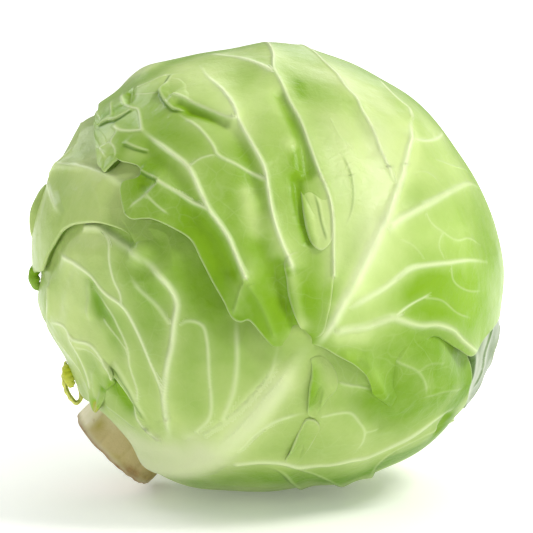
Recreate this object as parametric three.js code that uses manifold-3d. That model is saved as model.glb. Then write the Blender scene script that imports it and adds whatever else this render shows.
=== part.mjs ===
// Green cabbage: a whole head lying on its side, as cut from its stalk.
// Millimetres, +Z up. The head rests on the flat spot of its front leaf at the origin,
// and its cut stem points down to the left of a viewer who looks along +Y.
import * as THREE from 'three';
import { mergeVertices } from 'three/addons/utils/BufferGeometryUtils.js';
import Module from 'manifold-3d';

const wasm = await Module();
wasm.setup();

// Size of the head
const HEAD_HEIGHT = 79.6; // centre of the head above the surface it lies on
const DEPTH_RADIUS = 83; // radius towards the viewer and away
const FLAT_CUT = 0.25; // what the flat spot takes off the outermost leaf
// radii in the plane across the view, every 30 degrees, from the right, anticlockwise
const ACROSS_RADII = [85.5, 80.5, 79, 80, 82.5, 84, 85, 83, 83, 81, 84, 88];

// The view that outlines and veins are placed from
const VIEW_DISTANCE = 900;
const VIEW_ELEVATION = THREE.MathUtils.degToRad(9);
const MM_PER_PIXEL = 0.36; // at the head's centre
const HEAD_PIXEL = [270, 268]; // where the centre shows

// Stem
const STEM_AZIMUTH = THREE.MathUtils.degToRad(45.5); // its axis below the horizontal, to the left
const STEM_AWAY = THREE.MathUtils.degToRad(6); // its axis turned from the viewer
const CUT_END = [-57.5, -65.8, -7]; // middle of the cut face from the head's centre: right, up, near
const CUT_RADIUS = 16.5;
const CORE_DEPTH = 72; // how far the core runs into the head, from the cut face
const STEM_CLEARANCE = 0.35;

// Leaves
const BLADE = 1.2; // thickness of a leaf between its veins
const LAP = 1.9; // how far one part of the front leaf stands above the part it laps over
const GAP = 0.35; // air between two leaves
const FACET_REACH = 14; // a leaf above another stays lifted this far past its edge
const RAMP = 12; // and then settles over this distance
const SPHERE_DETAIL = 7;
const RIB_STEP = 11; // distance between the sections of a vein
const RIB_SINK = 0.5; // how deep a vein's foot lies in its blade
const FLAT_RIB = 6; // a vein this wide has a flat crest, and a finer one a sharp crest
const RIB_CREST = 0.55; // width of a flat crest over the width of its foot
const SIDE_ROOM = 1.2; // a vein stops this far short of the edge of a leaf that covers it
const SKIM = 0.05; // and is cut down to this height under that leaf

const RIGHT = new THREE.Vector3(1, 0, 0);
const UP = new THREE.Vector3(0, Math.sin(VIEW_ELEVATION), Math.cos(VIEW_ELEVATION));
const NEAR = new THREE.Vector3(0, -Math.cos(VIEW_ELEVATION), Math.sin(VIEW_ELEVATION));
const CENTRE = new THREE.Vector3(0, 0, HEAD_HEIGHT);

const fromView = (right, up, near) => new THREE.Vector3()
  .addScaledVector(RIGHT, right).addScaledVector(UP, up).addScaledVector(NEAR, near);

// Radius of the head across the view at an angle, by a smooth curve through ACROSS_RADII
function acrossRadius(angle) {
  const count = ACROSS_RADII.length;
  const place = ((angle / (2 * Math.PI)) * count + count) % count;
  const i = Math.floor(place);
  const t = place - i;
  const [a, b, c, d] = [-1, 0, 1, 2].map((k) => ACROSS_RADII[(i + k + count) % count]);
  return b + 0.5 * t * (c - a + t * (2 * a - 5 * b + 4 * c - d + t * (3 * (b - c) + d - a)));
}

// Radius of the head along a unit direction from its centre, pressed flat where it rests
function headRadius(direction) {
  const right = direction.dot(RIGHT);
  const up = direction.dot(UP);
  const near = direction.dot(NEAR);
  const across = acrossRadius(Math.atan2(up, right));
  const free = 1 / Math.hypot(Math.hypot(right, up) / across, near / DEPTH_RADIUS);
  const pressed = (HEAD_HEIGHT + FLAT_CUT) / Math.max(-direction.z, 0.1);
  return Math.min(free, pressed);
}

// Direction from the head's centre to the point seen at a pixel, on the near side or the far side
function atPixel([x, y, side = 1]) {
  const right = (x - HEAD_PIXEL[0]) * MM_PER_PIXEL;
  const up = (HEAD_PIXEL[1] - y) * MM_PER_PIXEL;
  const limb = acrossRadius(Math.atan2(up, right));
  let near = 0;
  let scale = 1;
  for (let pass = 0; pass < 8; pass += 1) {
    scale = (VIEW_DISTANCE - near) / VIEW_DISTANCE;
    const part = Math.min(1, (Math.hypot(right, up) * scale) / limb);
    near = side * DEPTH_RADIUS * Math.sqrt(1 - part * part);
  }
  return fromView(right * scale, up * scale, near).normalize();
}

const STEM_AXIS = fromView(
  -Math.cos(STEM_AZIMUTH) * Math.cos(STEM_AWAY),
  -Math.sin(STEM_AZIMUTH) * Math.cos(STEM_AWAY),
  -Math.sin(STEM_AWAY),
);
const CUT_CENTRE = fromView(...CUT_END).add(CENTRE);
const SOUTH = fromView(...CUT_END).normalize(); // from the head's centre to the cut
const FRONT = NEAR.clone().addScaledVector(SOUTH, -NEAR.dot(SOUTH)).normalize();
const UPPER_LEFT = new THREE.Vector3().crossVectors(SOUTH, FRONT).normalize();

// Direction by longitude round the stem, from the front over the upper left, and angle from the stem
function onMeridian(longitude, fromStem) {
  const round = THREE.MathUtils.degToRad(longitude);
  const down = THREE.MathUtils.degToRad(fromStem);
  return SOUTH.clone().multiplyScalar(Math.cos(down))
    .addScaledVector(FRONT, Math.sin(down) * Math.cos(round))
    .addScaledVector(UPPER_LEFT, Math.sin(down) * Math.sin(round));
}

// The sphere of directions that every leaf is measured on, so that nested leaves never cross
function sphereOfDirections() {
  const geometry = new THREE.IcosahedronGeometry(1, SPHERE_DETAIL);
  geometry.deleteAttribute('normal');
  geometry.deleteAttribute('uv');
  const merged = mergeVertices(geometry, 1e-5);
  const positions = merged.getAttribute('position');
  const directions = [];
  for (let i = 0; i < positions.count; i += 1) {
    directions.push(new THREE.Vector3().fromBufferAttribute(positions, i).normalize());
  }
  return { directions, triangles: Uint32Array.from(merged.index.array) };
}
const SPHERE = sphereOfDirections();

function solidOf(points, triangles) {
  const vertProperties = new Float32Array(points.flatMap((p) => [p.x, p.y, p.z]));
  return new wasm.Manifold(new wasm.Mesh({ numProp: 3, vertProperties, triVerts: triangles }));
}

function solidOfGeometry(geometry) {
  geometry.deleteAttribute('normal');
  geometry.deleteAttribute('uv');
  const merged = mergeVertices(geometry, 1e-4);
  return new wasm.Manifold(new wasm.Mesh({
    numProp: 3,
    vertProperties: Float32Array.from(merged.getAttribute('position').array),
    triVerts: Uint32Array.from(merged.index.array),
  }));
}

// A closed ball with its own radius along each direction of the sphere
const ball = (radii) => solidOf(
  SPHERE.directions.map((d, i) => d.clone().multiplyScalar(radii[i]).add(CENTRE)),
  SPHERE.triangles,
);

// Radius of a faceted ball along any direction
function facetRadius(radii, direction) {
  const ray = new THREE.Ray(new THREE.Vector3(), direction);
  const corner = (i) => SPHERE.directions[i].clone().multiplyScalar(radii[i]);
  const hit = new THREE.Vector3();
  for (let t = 0; t < SPHERE.triangles.length; t += 3) {
    const [a, b, c] = SPHERE.triangles.slice(t, t + 3);
    if (ray.intersectTriangle(corner(a), corner(b), corner(c), false, hit)) {
      return hit.length();
    }
  }
  return headRadius(direction);
}

// A leaf's outline as a closed loop of directions round its middle
class Outline {
  constructor(middle, points, samples) {
    this.middle = middle;
    const curve = new THREE.CatmullRomCurve3(points, true, 'centripetal');
    this.loop = curve.getPoints(samples).slice(0, -1).map((p) => p.normalize());
    const turning = new THREE.Vector3();
    this.edges().forEach(([a, b]) => turning.add(new THREE.Vector3().crossVectors(a, b)));
    if (turning.dot(middle) < 0) {
      this.loop.reverse();
    }
  }

  static fromPixels(middle, pixels, samples) {
    return new Outline(atPixel(middle), pixels.map(atPixel), samples);
  }

  // A rounded leaf with a waved edge: half its length runs along the meridian, half its width across
  static rounded({ longitude, fromStem, length, width, waves, wave }) {
    const middle = onMeridian(longitude, fromStem);
    const along = onMeridian(longitude, fromStem + 90);
    const across = new THREE.Vector3().crossVectors(middle, along);
    const samples = 40;
    const points = [];
    for (let i = 0; i < samples; i += 1) {
      const turn = (2 * Math.PI * i) / samples;
      const reach = 1 / Math.hypot(Math.cos(turn) / length, Math.sin(turn) / width);
      const angle = (reach + wave * Math.sin(waves * turn + longitude)) / DEPTH_RADIUS;
      points.push(middle.clone().multiplyScalar(Math.cos(angle))
        .addScaledVector(along, Math.sin(angle) * Math.cos(turn))
        .addScaledVector(across, Math.sin(angle) * Math.sin(turn)));
    }
    return new Outline(middle, points, samples);
  }

  edges() {
    return this.loop.map((from, i) => [from, this.loop[(i + 1) % this.loop.length]]);
  }

  holds(direction) {
    const side = (a, b) => new THREE.Vector3().crossVectors(a, b).dot(direction);
    return this.edges().some(([a, b]) => side(this.middle, a) >= 0
      && side(a, b) >= 0 && side(b, this.middle) >= 0);
  }

  // 1 on the leaf and near it, falling to 0 further out
  cover(direction) {
    if (this.holds(direction)) {
      return 1;
    }
    const nearest = new THREE.Vector3();
    const away = Math.min(...this.edges().map(([a, b]) => {
      new THREE.Line3(a, b).closestPointToPoint(direction, true, nearest);
      return nearest.distanceTo(direction) * DEPTH_RADIUS;
    }));
    return 1 - THREE.MathUtils.smoothstep(away, FACET_REACH, FACET_REACH + RAMP);
  }

  // The solid angle that the outline takes in from the head's centre, grown all round
  cone(grow = 0) {
    const reach = 3 * DEPTH_RADIUS;
    const points = [CENTRE, this.middle.clone().multiplyScalar(reach).add(CENTRE)];
    this.loop.forEach((d) => {
      const angle = this.middle.angleTo(d) + grow / DEPTH_RADIUS;
      const sideways = d.clone().addScaledVector(this.middle, -d.dot(this.middle)).normalize();
      points.push(this.middle.clone().multiplyScalar(reach * Math.cos(angle))
        .addScaledVector(sideways, reach * Math.sin(angle)).add(CENTRE));
    });
    const triangles = [];
    this.loop.forEach((_, i) => {
      const a = 2 + i;
      const b = 2 + ((i + 1) % this.loop.length);
      triangles.push(0, b, a, 1, a, b);
    });
    return solidOf(points, new Uint32Array(triangles));
  }
}

// A raised vein: a low ridge along a curve on a leaf's outer face
function ridge(radii, places, { wide, high }) {
  const curve = new THREE.CatmullRomCurve3(places, false, 'centripetal');
  const count = Math.max(2, Math.round((curve.getLength() * DEPTH_RADIUS) / RIB_STEP));
  const flat = wide[0] > FLAT_RIB;
  const points = [];
  for (let i = 0; i <= count; i += 1) {
    const t = i / count;
    const outward = curve.getPointAt(t).normalize();
    const sideways = new THREE.Vector3().crossVectors(outward, curve.getTangentAt(t)).normalize();
    const foot = outward.clone().multiplyScalar(facetRadius(radii, outward)).add(CENTRE);
    const half = THREE.MathUtils.lerp(wide[0], wide[1], t) / 2;
    const crest = THREE.MathUtils.lerp(high[0], high[1], t);
    const crests = flat ? [[half * RIB_CREST, crest], [-half * RIB_CREST, crest]] : [[0, crest]];
    [[-half, -RIB_SINK], [half, -RIB_SINK], ...crests].forEach(([side, out]) => {
      points.push(foot.clone().addScaledVector(sideways, side).addScaledVector(outward, out));
    });
  }
  const sides = flat ? 4 : 3;
  const triangles = [];
  for (let i = 0; i < count; i += 1) {
    const [from, to] = [sides * i, sides * (i + 1)];
    for (let k = 0; k < sides; k += 1) {
      const next = (k + 1) % sides;
      triangles.push(from + k, to + k, to + next, from + k, to + next, from + next);
    }
  }
  const last = sides * count;
  for (let k = 2; k < sides; k += 1) {
    triangles.push(0, k - 1, k, last, last + k, last + k - 1);
  }
  const solid = solidOf(points, new Uint32Array(triangles));
  return solid.volume() < 0 ? solidOf(points, new Uint32Array(triangles).reverse()) : solid;
}

const pixels = (...places) => places.map(atPixel);

// The front leaf, torn across: its lower half carries the broad white base of the midrib
const LOWER_HALF = Outline.fromPixels([235, 370], [
  [116, 440], [96, 400, -1], [66, 345, -1], [52, 300, -1], [48, 262, -1], [50, 225], [52, 190],
  [62, 160], [84, 138], [120, 140], [150, 165], [180, 190], [215, 225], [242, 265], [264, 298],
  [290, 318], [320, 322], [355, 325], [385, 335], [415, 345], [445, 352], [472, 364], [468, 386],
  [460, 409], [444, 420], [434, 432], [418, 449], [402, 459], [378, 459, -1], [352, 452, -1],
  [326, 462, -1], [298, 457, -1], [268, 464, -1], [236, 457, -1], [208, 461, -1], [184, 449, -1],
  [160, 452, -1], [138, 446, -1]], 68);

// Its shoulder arches over the pale lobe below it at the left
const SHOULDER = Outline.fromPixels([100, 195], [
  [45, 256], [53, 244], [61, 230], [71, 225], [85, 223], [99, 223], [111, 226], [122, 231],
  [130, 240], [137, 252], [150, 240], [165, 215], [160, 185], [138, 160], [110, 145], [84, 140],
  [64, 160], [52, 185], [48, 210], [44, 235]], 44);

// Its upper half laps over the lower one along the tear, and over the shoulder at the left
const UPPER_HALF = Outline.fromPixels([300, 190], [
  [130, 222], [139, 215], [150, 216], [172, 227], [190, 240], [200, 259], [211, 280], [224, 302],
  [232, 318], [246, 321], [260, 333], [279, 347], [310, 345], [336, 355], [357, 368], [372, 386],
  [378, 400], [395, 412], [402, 400], [412, 372], [424, 348], [434, 337], [456, 348], [473, 356],
  [484, 340], [495, 325], [492, 290, -1], [484, 262, -1], [489, 234, -1], [476, 205, -1],
  [470, 178, -1], [450, 158, -1], [440, 130, -1], [412, 120, -1], [392, 96, -1], [362, 99, -1],
  [338, 82, -1], [300, 88, -1], [268, 73, -1], [236, 84, -1], [205, 77, -1], [178, 92, -1],
  [150, 96, -1], [126, 106, -1], [98, 112], [94, 133], [98, 165], [106, 171], [118, 184],
  [121, 206]], 88);

// A bright strip of it, folded over beside a side vein
const FOLDED_STRIP = Outline.fromPixels([310, 262], [
  [299, 176], [301, 205], [306, 232], [296, 250], [284, 262], [288, 295], [297, 320], [310, 342],
  [322, 332], [328, 308], [332, 280], [333, 250], [331, 214], [326, 190], [312, 176]], 30);

// Two flaps stand up along the second tear, in the lower half
const UPPER_FLAP = Outline.fromPixels([324, 378], [
  [311, 360], [322, 358], [332, 365], [338, 380], [333, 393], [322, 404], [312, 415], [309, 400],
  [309, 378]], 18);
const LOWER_FLAP = Outline.fromPixels([304, 436], [
  [309, 418], [317, 421], [312, 438], [300, 456], [286, 459], [292, 442], [300, 430]], 16);

const LEFT = Outline.rounded({
  longitude: 100, fromStem: 84, length: 102, width: 84, waves: 9, wave: 1.6,
});
const BOTTOM = Outline.rounded({
  longitude: -96, fromStem: 86, length: 104, width: 84, waves: 11, wave: 1.5,
});
const BACK = Outline.rounded({
  longitude: 182, fromStem: 82, length: 100, width: 88, waves: 10, wave: 1.8,
});
const CROWN = Outline.rounded({
  longitude: 190, fromStem: 150, length: 82, width: 78, waves: 8, wave: 1.2,
});

// Each layer from the heart outwards: what it adds to the ones above it, and what its leaf lies on
const LAYERS = [
  { name: 'crown', outline: CROWN, step: BLADE + GAP, on: 'heart' },
  { name: 'back', outline: BACK, step: BLADE + GAP, on: 'crown' },
  { name: 'bottom', outline: BOTTOM, step: BLADE + GAP, on: 'back' },
  { name: 'left', outline: LEFT, step: BLADE + GAP, on: 'bottom' },
  { name: 'lower half', outline: LOWER_HALF, step: BLADE + GAP, on: 'left' },
  { name: 'shoulder', outline: SHOULDER, step: LAP, on: 'left' },
  { name: 'upper half', outline: UPPER_HALF, step: LAP, on: 'left' },
];

// Radii of the heart and of the top of each layer, so that the outermost one meets the head's form
function stackLayers() {
  const steps = LAYERS.map(({ outline, step }) => SPHERE.directions
    .map((d) => outline.cover(d) * step));
  let below = SPHERE.directions.map((d, i) => headRadius(d)
    - steps.reduce((sum, layer) => sum + layer[i], 0));
  const tops = { heart: below };
  LAYERS.forEach(({ name }, k) => {
    below = below.map((radius, i) => radius + steps[k][i]);
    tops[name] = below;
  });
  return tops;
}
const TOPS = stackLayers();

const raised = (radii, by) => radii.map((radius) => radius + by);

// The part of a ball that lies in an outline
const patch = (radii, outline) => ball(radii).intersect(outline.cone());

function stemSolid(grow) {
  const profile = [
    [0, -CORE_DEPTH - grow], [3, -CORE_DEPTH - grow], [8 + grow, -50], [12 + grow, -28],
    [14 + grow, -14], [CUT_RADIUS - 0.6 + grow, -5], [CUT_RADIUS + grow, -1.2 + grow],
    [CUT_RADIUS - 1 + grow, 0 + grow], [6, -0.6 + grow], [0, -1 + grow],
  ].map(([radius, along]) => new THREE.Vector2(radius, along));
  const geometry = new THREE.LatheGeometry(profile, 20);
  geometry.applyQuaternion(new THREE.Quaternion()
    .setFromUnitVectors(new THREE.Vector3(0, 1, 0), STEM_AXIS));
  geometry.translate(CUT_CENTRE.x, CUT_CENTRE.y, CUT_CENTRE.z);
  return solidOfGeometry(geometry);
}
const STEM = stemSolid(0);
const STEM_ROOM = stemSolid(STEM_CLEARANCE);

function groundSolid() {
  const span = 4 * DEPTH_RADIUS;
  return solidOfGeometry(new THREE.BoxGeometry(span, span, span).translate(0, 0, -span / 2));
}
const GROUND = groundSolid();

// A leaf: its blades less what lies under them, with its veins cut down where another leaf covers
// them, and with room for the stem and the ground
function leafSolid(name, blades, ridges) {
  const join = (pieces) => pieces.reduce((whole, piece) => whole.add(piece));
  const first = LAYERS.findIndex((layer) => layer.name === name);
  const below = LAYERS[first].on;
  const own = LAYERS.filter(({ on }) => on === below);
  const covers = LAYERS.slice(first + own.length);
  const veins = covers.reduce(
    (left, { outline, on }) => left.subtract(outline.cone(SIDE_ROOM).subtract(ball(raised(TOPS[on], SKIM)))),
    join(ridges).intersect(join(own.map(({ outline }) => outline.cone()))),
  );
  return join([...blades, veins])
    .subtract(ball(raised(TOPS[below], GAP))).subtract(STEM_ROOM).subtract(GROUND);
}

// Veins of a rounded leaf: a midrib along its meridian and side veins that curve from it to the edge
function fanOfVeins(radii, { longitude, fromStem }, sideVeins) {
  const midrib = [16, 45, 75, 105, 130].map((angle) => onMeridian(longitude, angle));
  const veins = [ridge(radii, midrib, { wide: [13, 2.5], high: [3.2, 0.7] })];
  sideVeins.forEach(([start, side]) => {
    const places = [0, 1, 2, 3].map((k) => onMeridian(
      longitude + side * (2 + 11 * k + 1.2 * k * k),
      start + 12 * k - 0.4 * k * k + (fromStem - 84),
    ));
    veins.push(ridge(radii, places, { wide: [3.4, 1.4], high: [1, 0.5] }));
  });
  return veins;
}

function frontLeaf() {
  const lower = TOPS['lower half'];
  const upper = TOPS['upper half'];
  const blades = [
    patch(lower, LOWER_HALF),
    patch(TOPS.shoulder, SHOULDER),
    patch(upper, UPPER_HALF),
    patch(raised(upper, 1.1), FOLDED_STRIP),
    patch(raised(lower, 1.6), UPPER_FLAP),
    patch(raised(lower, 1.3), LOWER_FLAP),
  ];
  const ridges = [
    ridge(lower, pixels([152, 466], [185, 462], [221, 440], [260, 404], [288, 372], [304, 350]),
      { wide: [17, 5], high: [4, 1.2] }),
    ridge(lower, pixels([171, 432], [168, 393], [169, 350], [165, 300], [150, 268], [138, 256]),
      { wide: [4.6, 3.2], high: [1.4, 0.9] }),
    ridge(lower, pixels([198, 428], [211, 400], [208, 372], [196, 340]),
      { wide: [3, 1.6], high: [0.9, 0.5] }),
    ridge(lower, pixels([167, 396], [148, 352], [124, 304], [92, 277], [56, 254]),
      { wide: [3.2, 2.4], high: [1, 0.6] }),
    ridge(lower, pixels([158, 436], [137, 414], [115, 377], [97, 346], [60, 325]),
      { wide: [4, 2.2], high: [1.3, 0.6] }),
    ridge(lower, pixels([240, 459], [285, 462], [330, 462], [375, 452], [425, 426]),
      { wide: [3.4, 1.6], high: [0.9, 0.5] }),
    ridge(upper, pixels([322, 340], [343, 300], [361, 266], [380, 226], [396, 190], [408, 145],
      [410, 118]), { wide: [7, 3], high: [1.3, 0.7] }),
    ridge(upper, pixels([246, 277], [230, 240], [211, 210], [195, 178], [172, 154], [143, 132]),
      { wide: [3.8, 2], high: [1.3, 0.7] }),
    ridge(upper, pixels([293, 271], [279, 236], [268, 190], [240, 124], [212, 84]),
      { wide: [4, 1.8], high: [1.4, 0.7] }),
    ridge(upper, pixels([331, 206], [318, 172], [300, 123], [280, 84], [262, 46]),
      { wide: [3.2, 1.8], high: [1.2, 0.6] }),
    ridge(upper, pixels([390, 172], [371, 128], [346, 91], [311, 54]),
      { wide: [2.6, 1.6], high: [0.8, 0.5] }),
    ridge(upper, pixels([382, 232], [408, 214], [434, 200], [476, 188]),
      { wide: [2.8, 1.6], high: [0.9, 0.5] }),
    ridge(upper, pixels([330, 330], [364, 326], [401, 320], [434, 324], [462, 342]),
      { wide: [4.4, 2.2], high: [1.4, 0.8] }),
  ];
  return leafSolid('lower half', blades, ridges);
}

function leftLeaf() {
  const top = TOPS.left;
  const ridges = fanOfVeins(top, { longitude: 118, fromStem: 84 }, [[36, 1], [62, 1], [88, 1]]);
  ridges.push(ridge(top, pixels([56, 185, -1], [47, 225, -1], [52, 252, -1]),
    { wide: [7, 7], high: [4, 4] }));
  return leafSolid('left', [patch(top, LEFT)], ridges);
}

function bottomLeaf() {
  const top = TOPS.bottom;
  const sideVeins = [[34, -1], [58, -1], [82, -1]];
  const ridges = fanOfVeins(top, { longitude: -118, fromStem: 86 }, sideVeins);
  return leafSolid('bottom', [patch(top, BOTTOM)], ridges);
}

function backLeaf() {
  const top = TOPS.back;
  const sideVeins = [[34, 1], [46, -1], [60, 1], [72, -1], [86, 1], [96, -1]];
  const ridges = fanOfVeins(top, { longitude: 182, fromStem: 82 }, sideVeins);
  return leafSolid('back', [patch(top, BACK)], ridges);
}

function crownLeaf() {
  const midrib = [78, 100, 124].map((angle) => onMeridian(190, angle));
  const ridges = [ridge(TOPS.crown, midrib, { wide: [5, 2], high: [1.2, 0.5] })];
  return leafSolid('crown', [patch(TOPS.crown, CROWN)], ridges);
}

const heartOfLeaves = () => ball(TOPS.heart).subtract(STEM_ROOM);

function meshOf(name, solid, colour, roughness) {
  const { vertProperties, numProp, triVerts } = solid.getMesh();
  const geometry = new THREE.BufferGeometry();
  const positions = new Float32Array((vertProperties.length / numProp) * 3);
  for (let i = 0; i < positions.length / 3; i += 1) {
    positions.set(vertProperties.slice(i * numProp, i * numProp + 3), i * 3);
  }
  geometry.setAttribute('position', new THREE.BufferAttribute(positions, 3));
  geometry.setIndex(new THREE.BufferAttribute(Uint32Array.from(triVerts), 1));
  geometry.computeVertexNormals();
  const material = new THREE.MeshStandardMaterial({ color: colour, roughness, metalness: 0 });
  const mesh = new THREE.Mesh(geometry, material);
  mesh.name = name;
  return mesh;
}

const group = new THREE.Group();
group.add(
  meshOf('stem', STEM, 0xc9bfa0, 0.7),
  meshOf('heart', heartOfLeaves(), 0xd9e6b0, 0.6),
  meshOf('leaf_crown', crownLeaf(), 0xcfe3a4, 0.5),
  meshOf('leaf_back', backLeaf(), 0x9cc255, 0.5),
  meshOf('leaf_bottom', bottomLeaf(), 0x8db858, 0.5),
  meshOf('leaf_left', leftLeaf(), 0xa3c070, 0.5),
  meshOf('leaf_front', frontLeaf(), 0xa8cc62, 0.45),
);

export default group;
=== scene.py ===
"""Green cabbage lying on its side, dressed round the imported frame.

The visible side is one torn leaf: its upper half laps over its lower half, whose broad white midrib
runs to the cut stump. Lengths are millimetres until a mesh is written, directions are unit vectors
from the head's centre, and a place on the photographed side is a pixel of the 533 x 533 frame, with
-1 as its third value where it lies on the far side.
"""

from __future__ import annotations

import logging
import math
from dataclasses import dataclass, replace
from enum import Enum
from functools import cached_property, partial
from typing import Any, Callable, Iterable, Sequence

import bpy
import numpy as np
from mathutils import Matrix


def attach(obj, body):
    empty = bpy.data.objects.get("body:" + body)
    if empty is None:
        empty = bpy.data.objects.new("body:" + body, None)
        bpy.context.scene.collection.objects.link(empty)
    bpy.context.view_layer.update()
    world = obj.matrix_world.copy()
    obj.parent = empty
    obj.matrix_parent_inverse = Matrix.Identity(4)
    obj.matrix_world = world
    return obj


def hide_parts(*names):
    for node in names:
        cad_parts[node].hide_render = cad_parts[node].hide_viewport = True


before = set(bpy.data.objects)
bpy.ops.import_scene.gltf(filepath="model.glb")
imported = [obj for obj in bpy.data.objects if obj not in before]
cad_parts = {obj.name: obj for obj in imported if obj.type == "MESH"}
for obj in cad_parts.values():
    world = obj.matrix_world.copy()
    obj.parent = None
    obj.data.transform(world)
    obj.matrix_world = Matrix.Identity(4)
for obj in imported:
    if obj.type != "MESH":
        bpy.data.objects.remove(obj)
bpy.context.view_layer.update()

LOG = logging.getLogger("cabbage")
MM = 0.001
MASKS = "leaf_masks"
CRESTS = "leaf_crests"
BODY = "root"
# how crests are coded into 0 to 1: what each part is multiplied by, and what is then added
CREST_SCALE = (1 / 8, 1, 1 / 4, 1)
CREST_START = (0.5, 0, 0.5, 0)
# the crest of a place with no line, and how little a line has to show to take its place
NO_LINE = (3.0, 0.0, 0.0, 0.0, 0.002)

# how many samples a smooth path has between two of its points before they are spaced evenly
PATH_STEPS = 24

Vectors = np.ndarray
Place = Sequence[float]


def unit(vectors: Vectors) -> Vectors:
    """Returns the vectors at length 1."""
    return vectors / np.linalg.norm(vectors, axis=-1, keepdims=True)


def smoothstep(x: Vectors, low: float, high: float) -> Vectors:
    """Returns 0 below low and 1 above high, with a smooth rise between."""
    t = np.clip((x - low) / (high - low), 0, 1)
    return t * t * (3 - 2 * t)


def around(turn: Vectors, first: Vectors, second: Vectors) -> Vectors:
    """Returns the directions at angles from a first axis towards a second one, as rows."""
    return np.cos(turn)[:, None] * first + np.sin(turn)[:, None] * second


def between_rows(where: Vectors, stations: Vectors, rows: Vectors) -> Vectors:
    """Returns the rows at places between the stations that have them."""
    return np.stack([np.interp(where, stations, column) for column in rows.T], axis=1)


def smooth_path(points: Vectors, count: int, closed: bool = False) -> Vectors:
    """Runs a centripetal Catmull-Rom curve through points and spaces its samples evenly.

    Args:
        points: the points that the curve passes, as rows.
        count: how many samples to return.
        closed: whether the curve ends where it starts.

    Returns:
        The samples, as rows. A closed curve doesn't repeat its first one.
    """
    if closed:
        padded = np.vstack([points[-1:], points, points[:2]])
    else:
        padded = np.vstack([2 * points[0] - points[1], points, 2 * points[-1] - points[-2]])
    spans = np.sqrt(np.linalg.norm(np.diff(padded, axis=0), axis=1))[:, None]
    before, start, end, after = padded[:-3], padded[1:-2], padded[2:-1], padded[3:]
    first, middle, last = spans[:-2], spans[1:-1], spans[2:]
    leave = ((start - before) / first - (end - before) / (first + middle) + (end - start) / middle) * middle
    arrive = ((end - start) / middle - (after - start) / (middle + last) + (after - end) / last) * middle
    steps = np.linspace(0, 1, PATH_STEPS, endpoint=False)[:, None, None]
    dense = (start + leave * steps + (3 * (end - start) - 2 * leave - arrive) * steps**2
             + (2 * (start - end) + leave + arrive) * steps**3)
    dense = dense.transpose(1, 0, 2).reshape(-1, points.shape[1])
    dense = np.vstack([dense, padded[-2] if not closed else points[0]])
    run = np.concatenate([[0], np.cumsum(np.linalg.norm(np.diff(dense, axis=0), axis=1))])
    wanted = np.linspace(0, run[-1], count, endpoint=not closed)
    return between_rows(wanted, run, dense)


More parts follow.
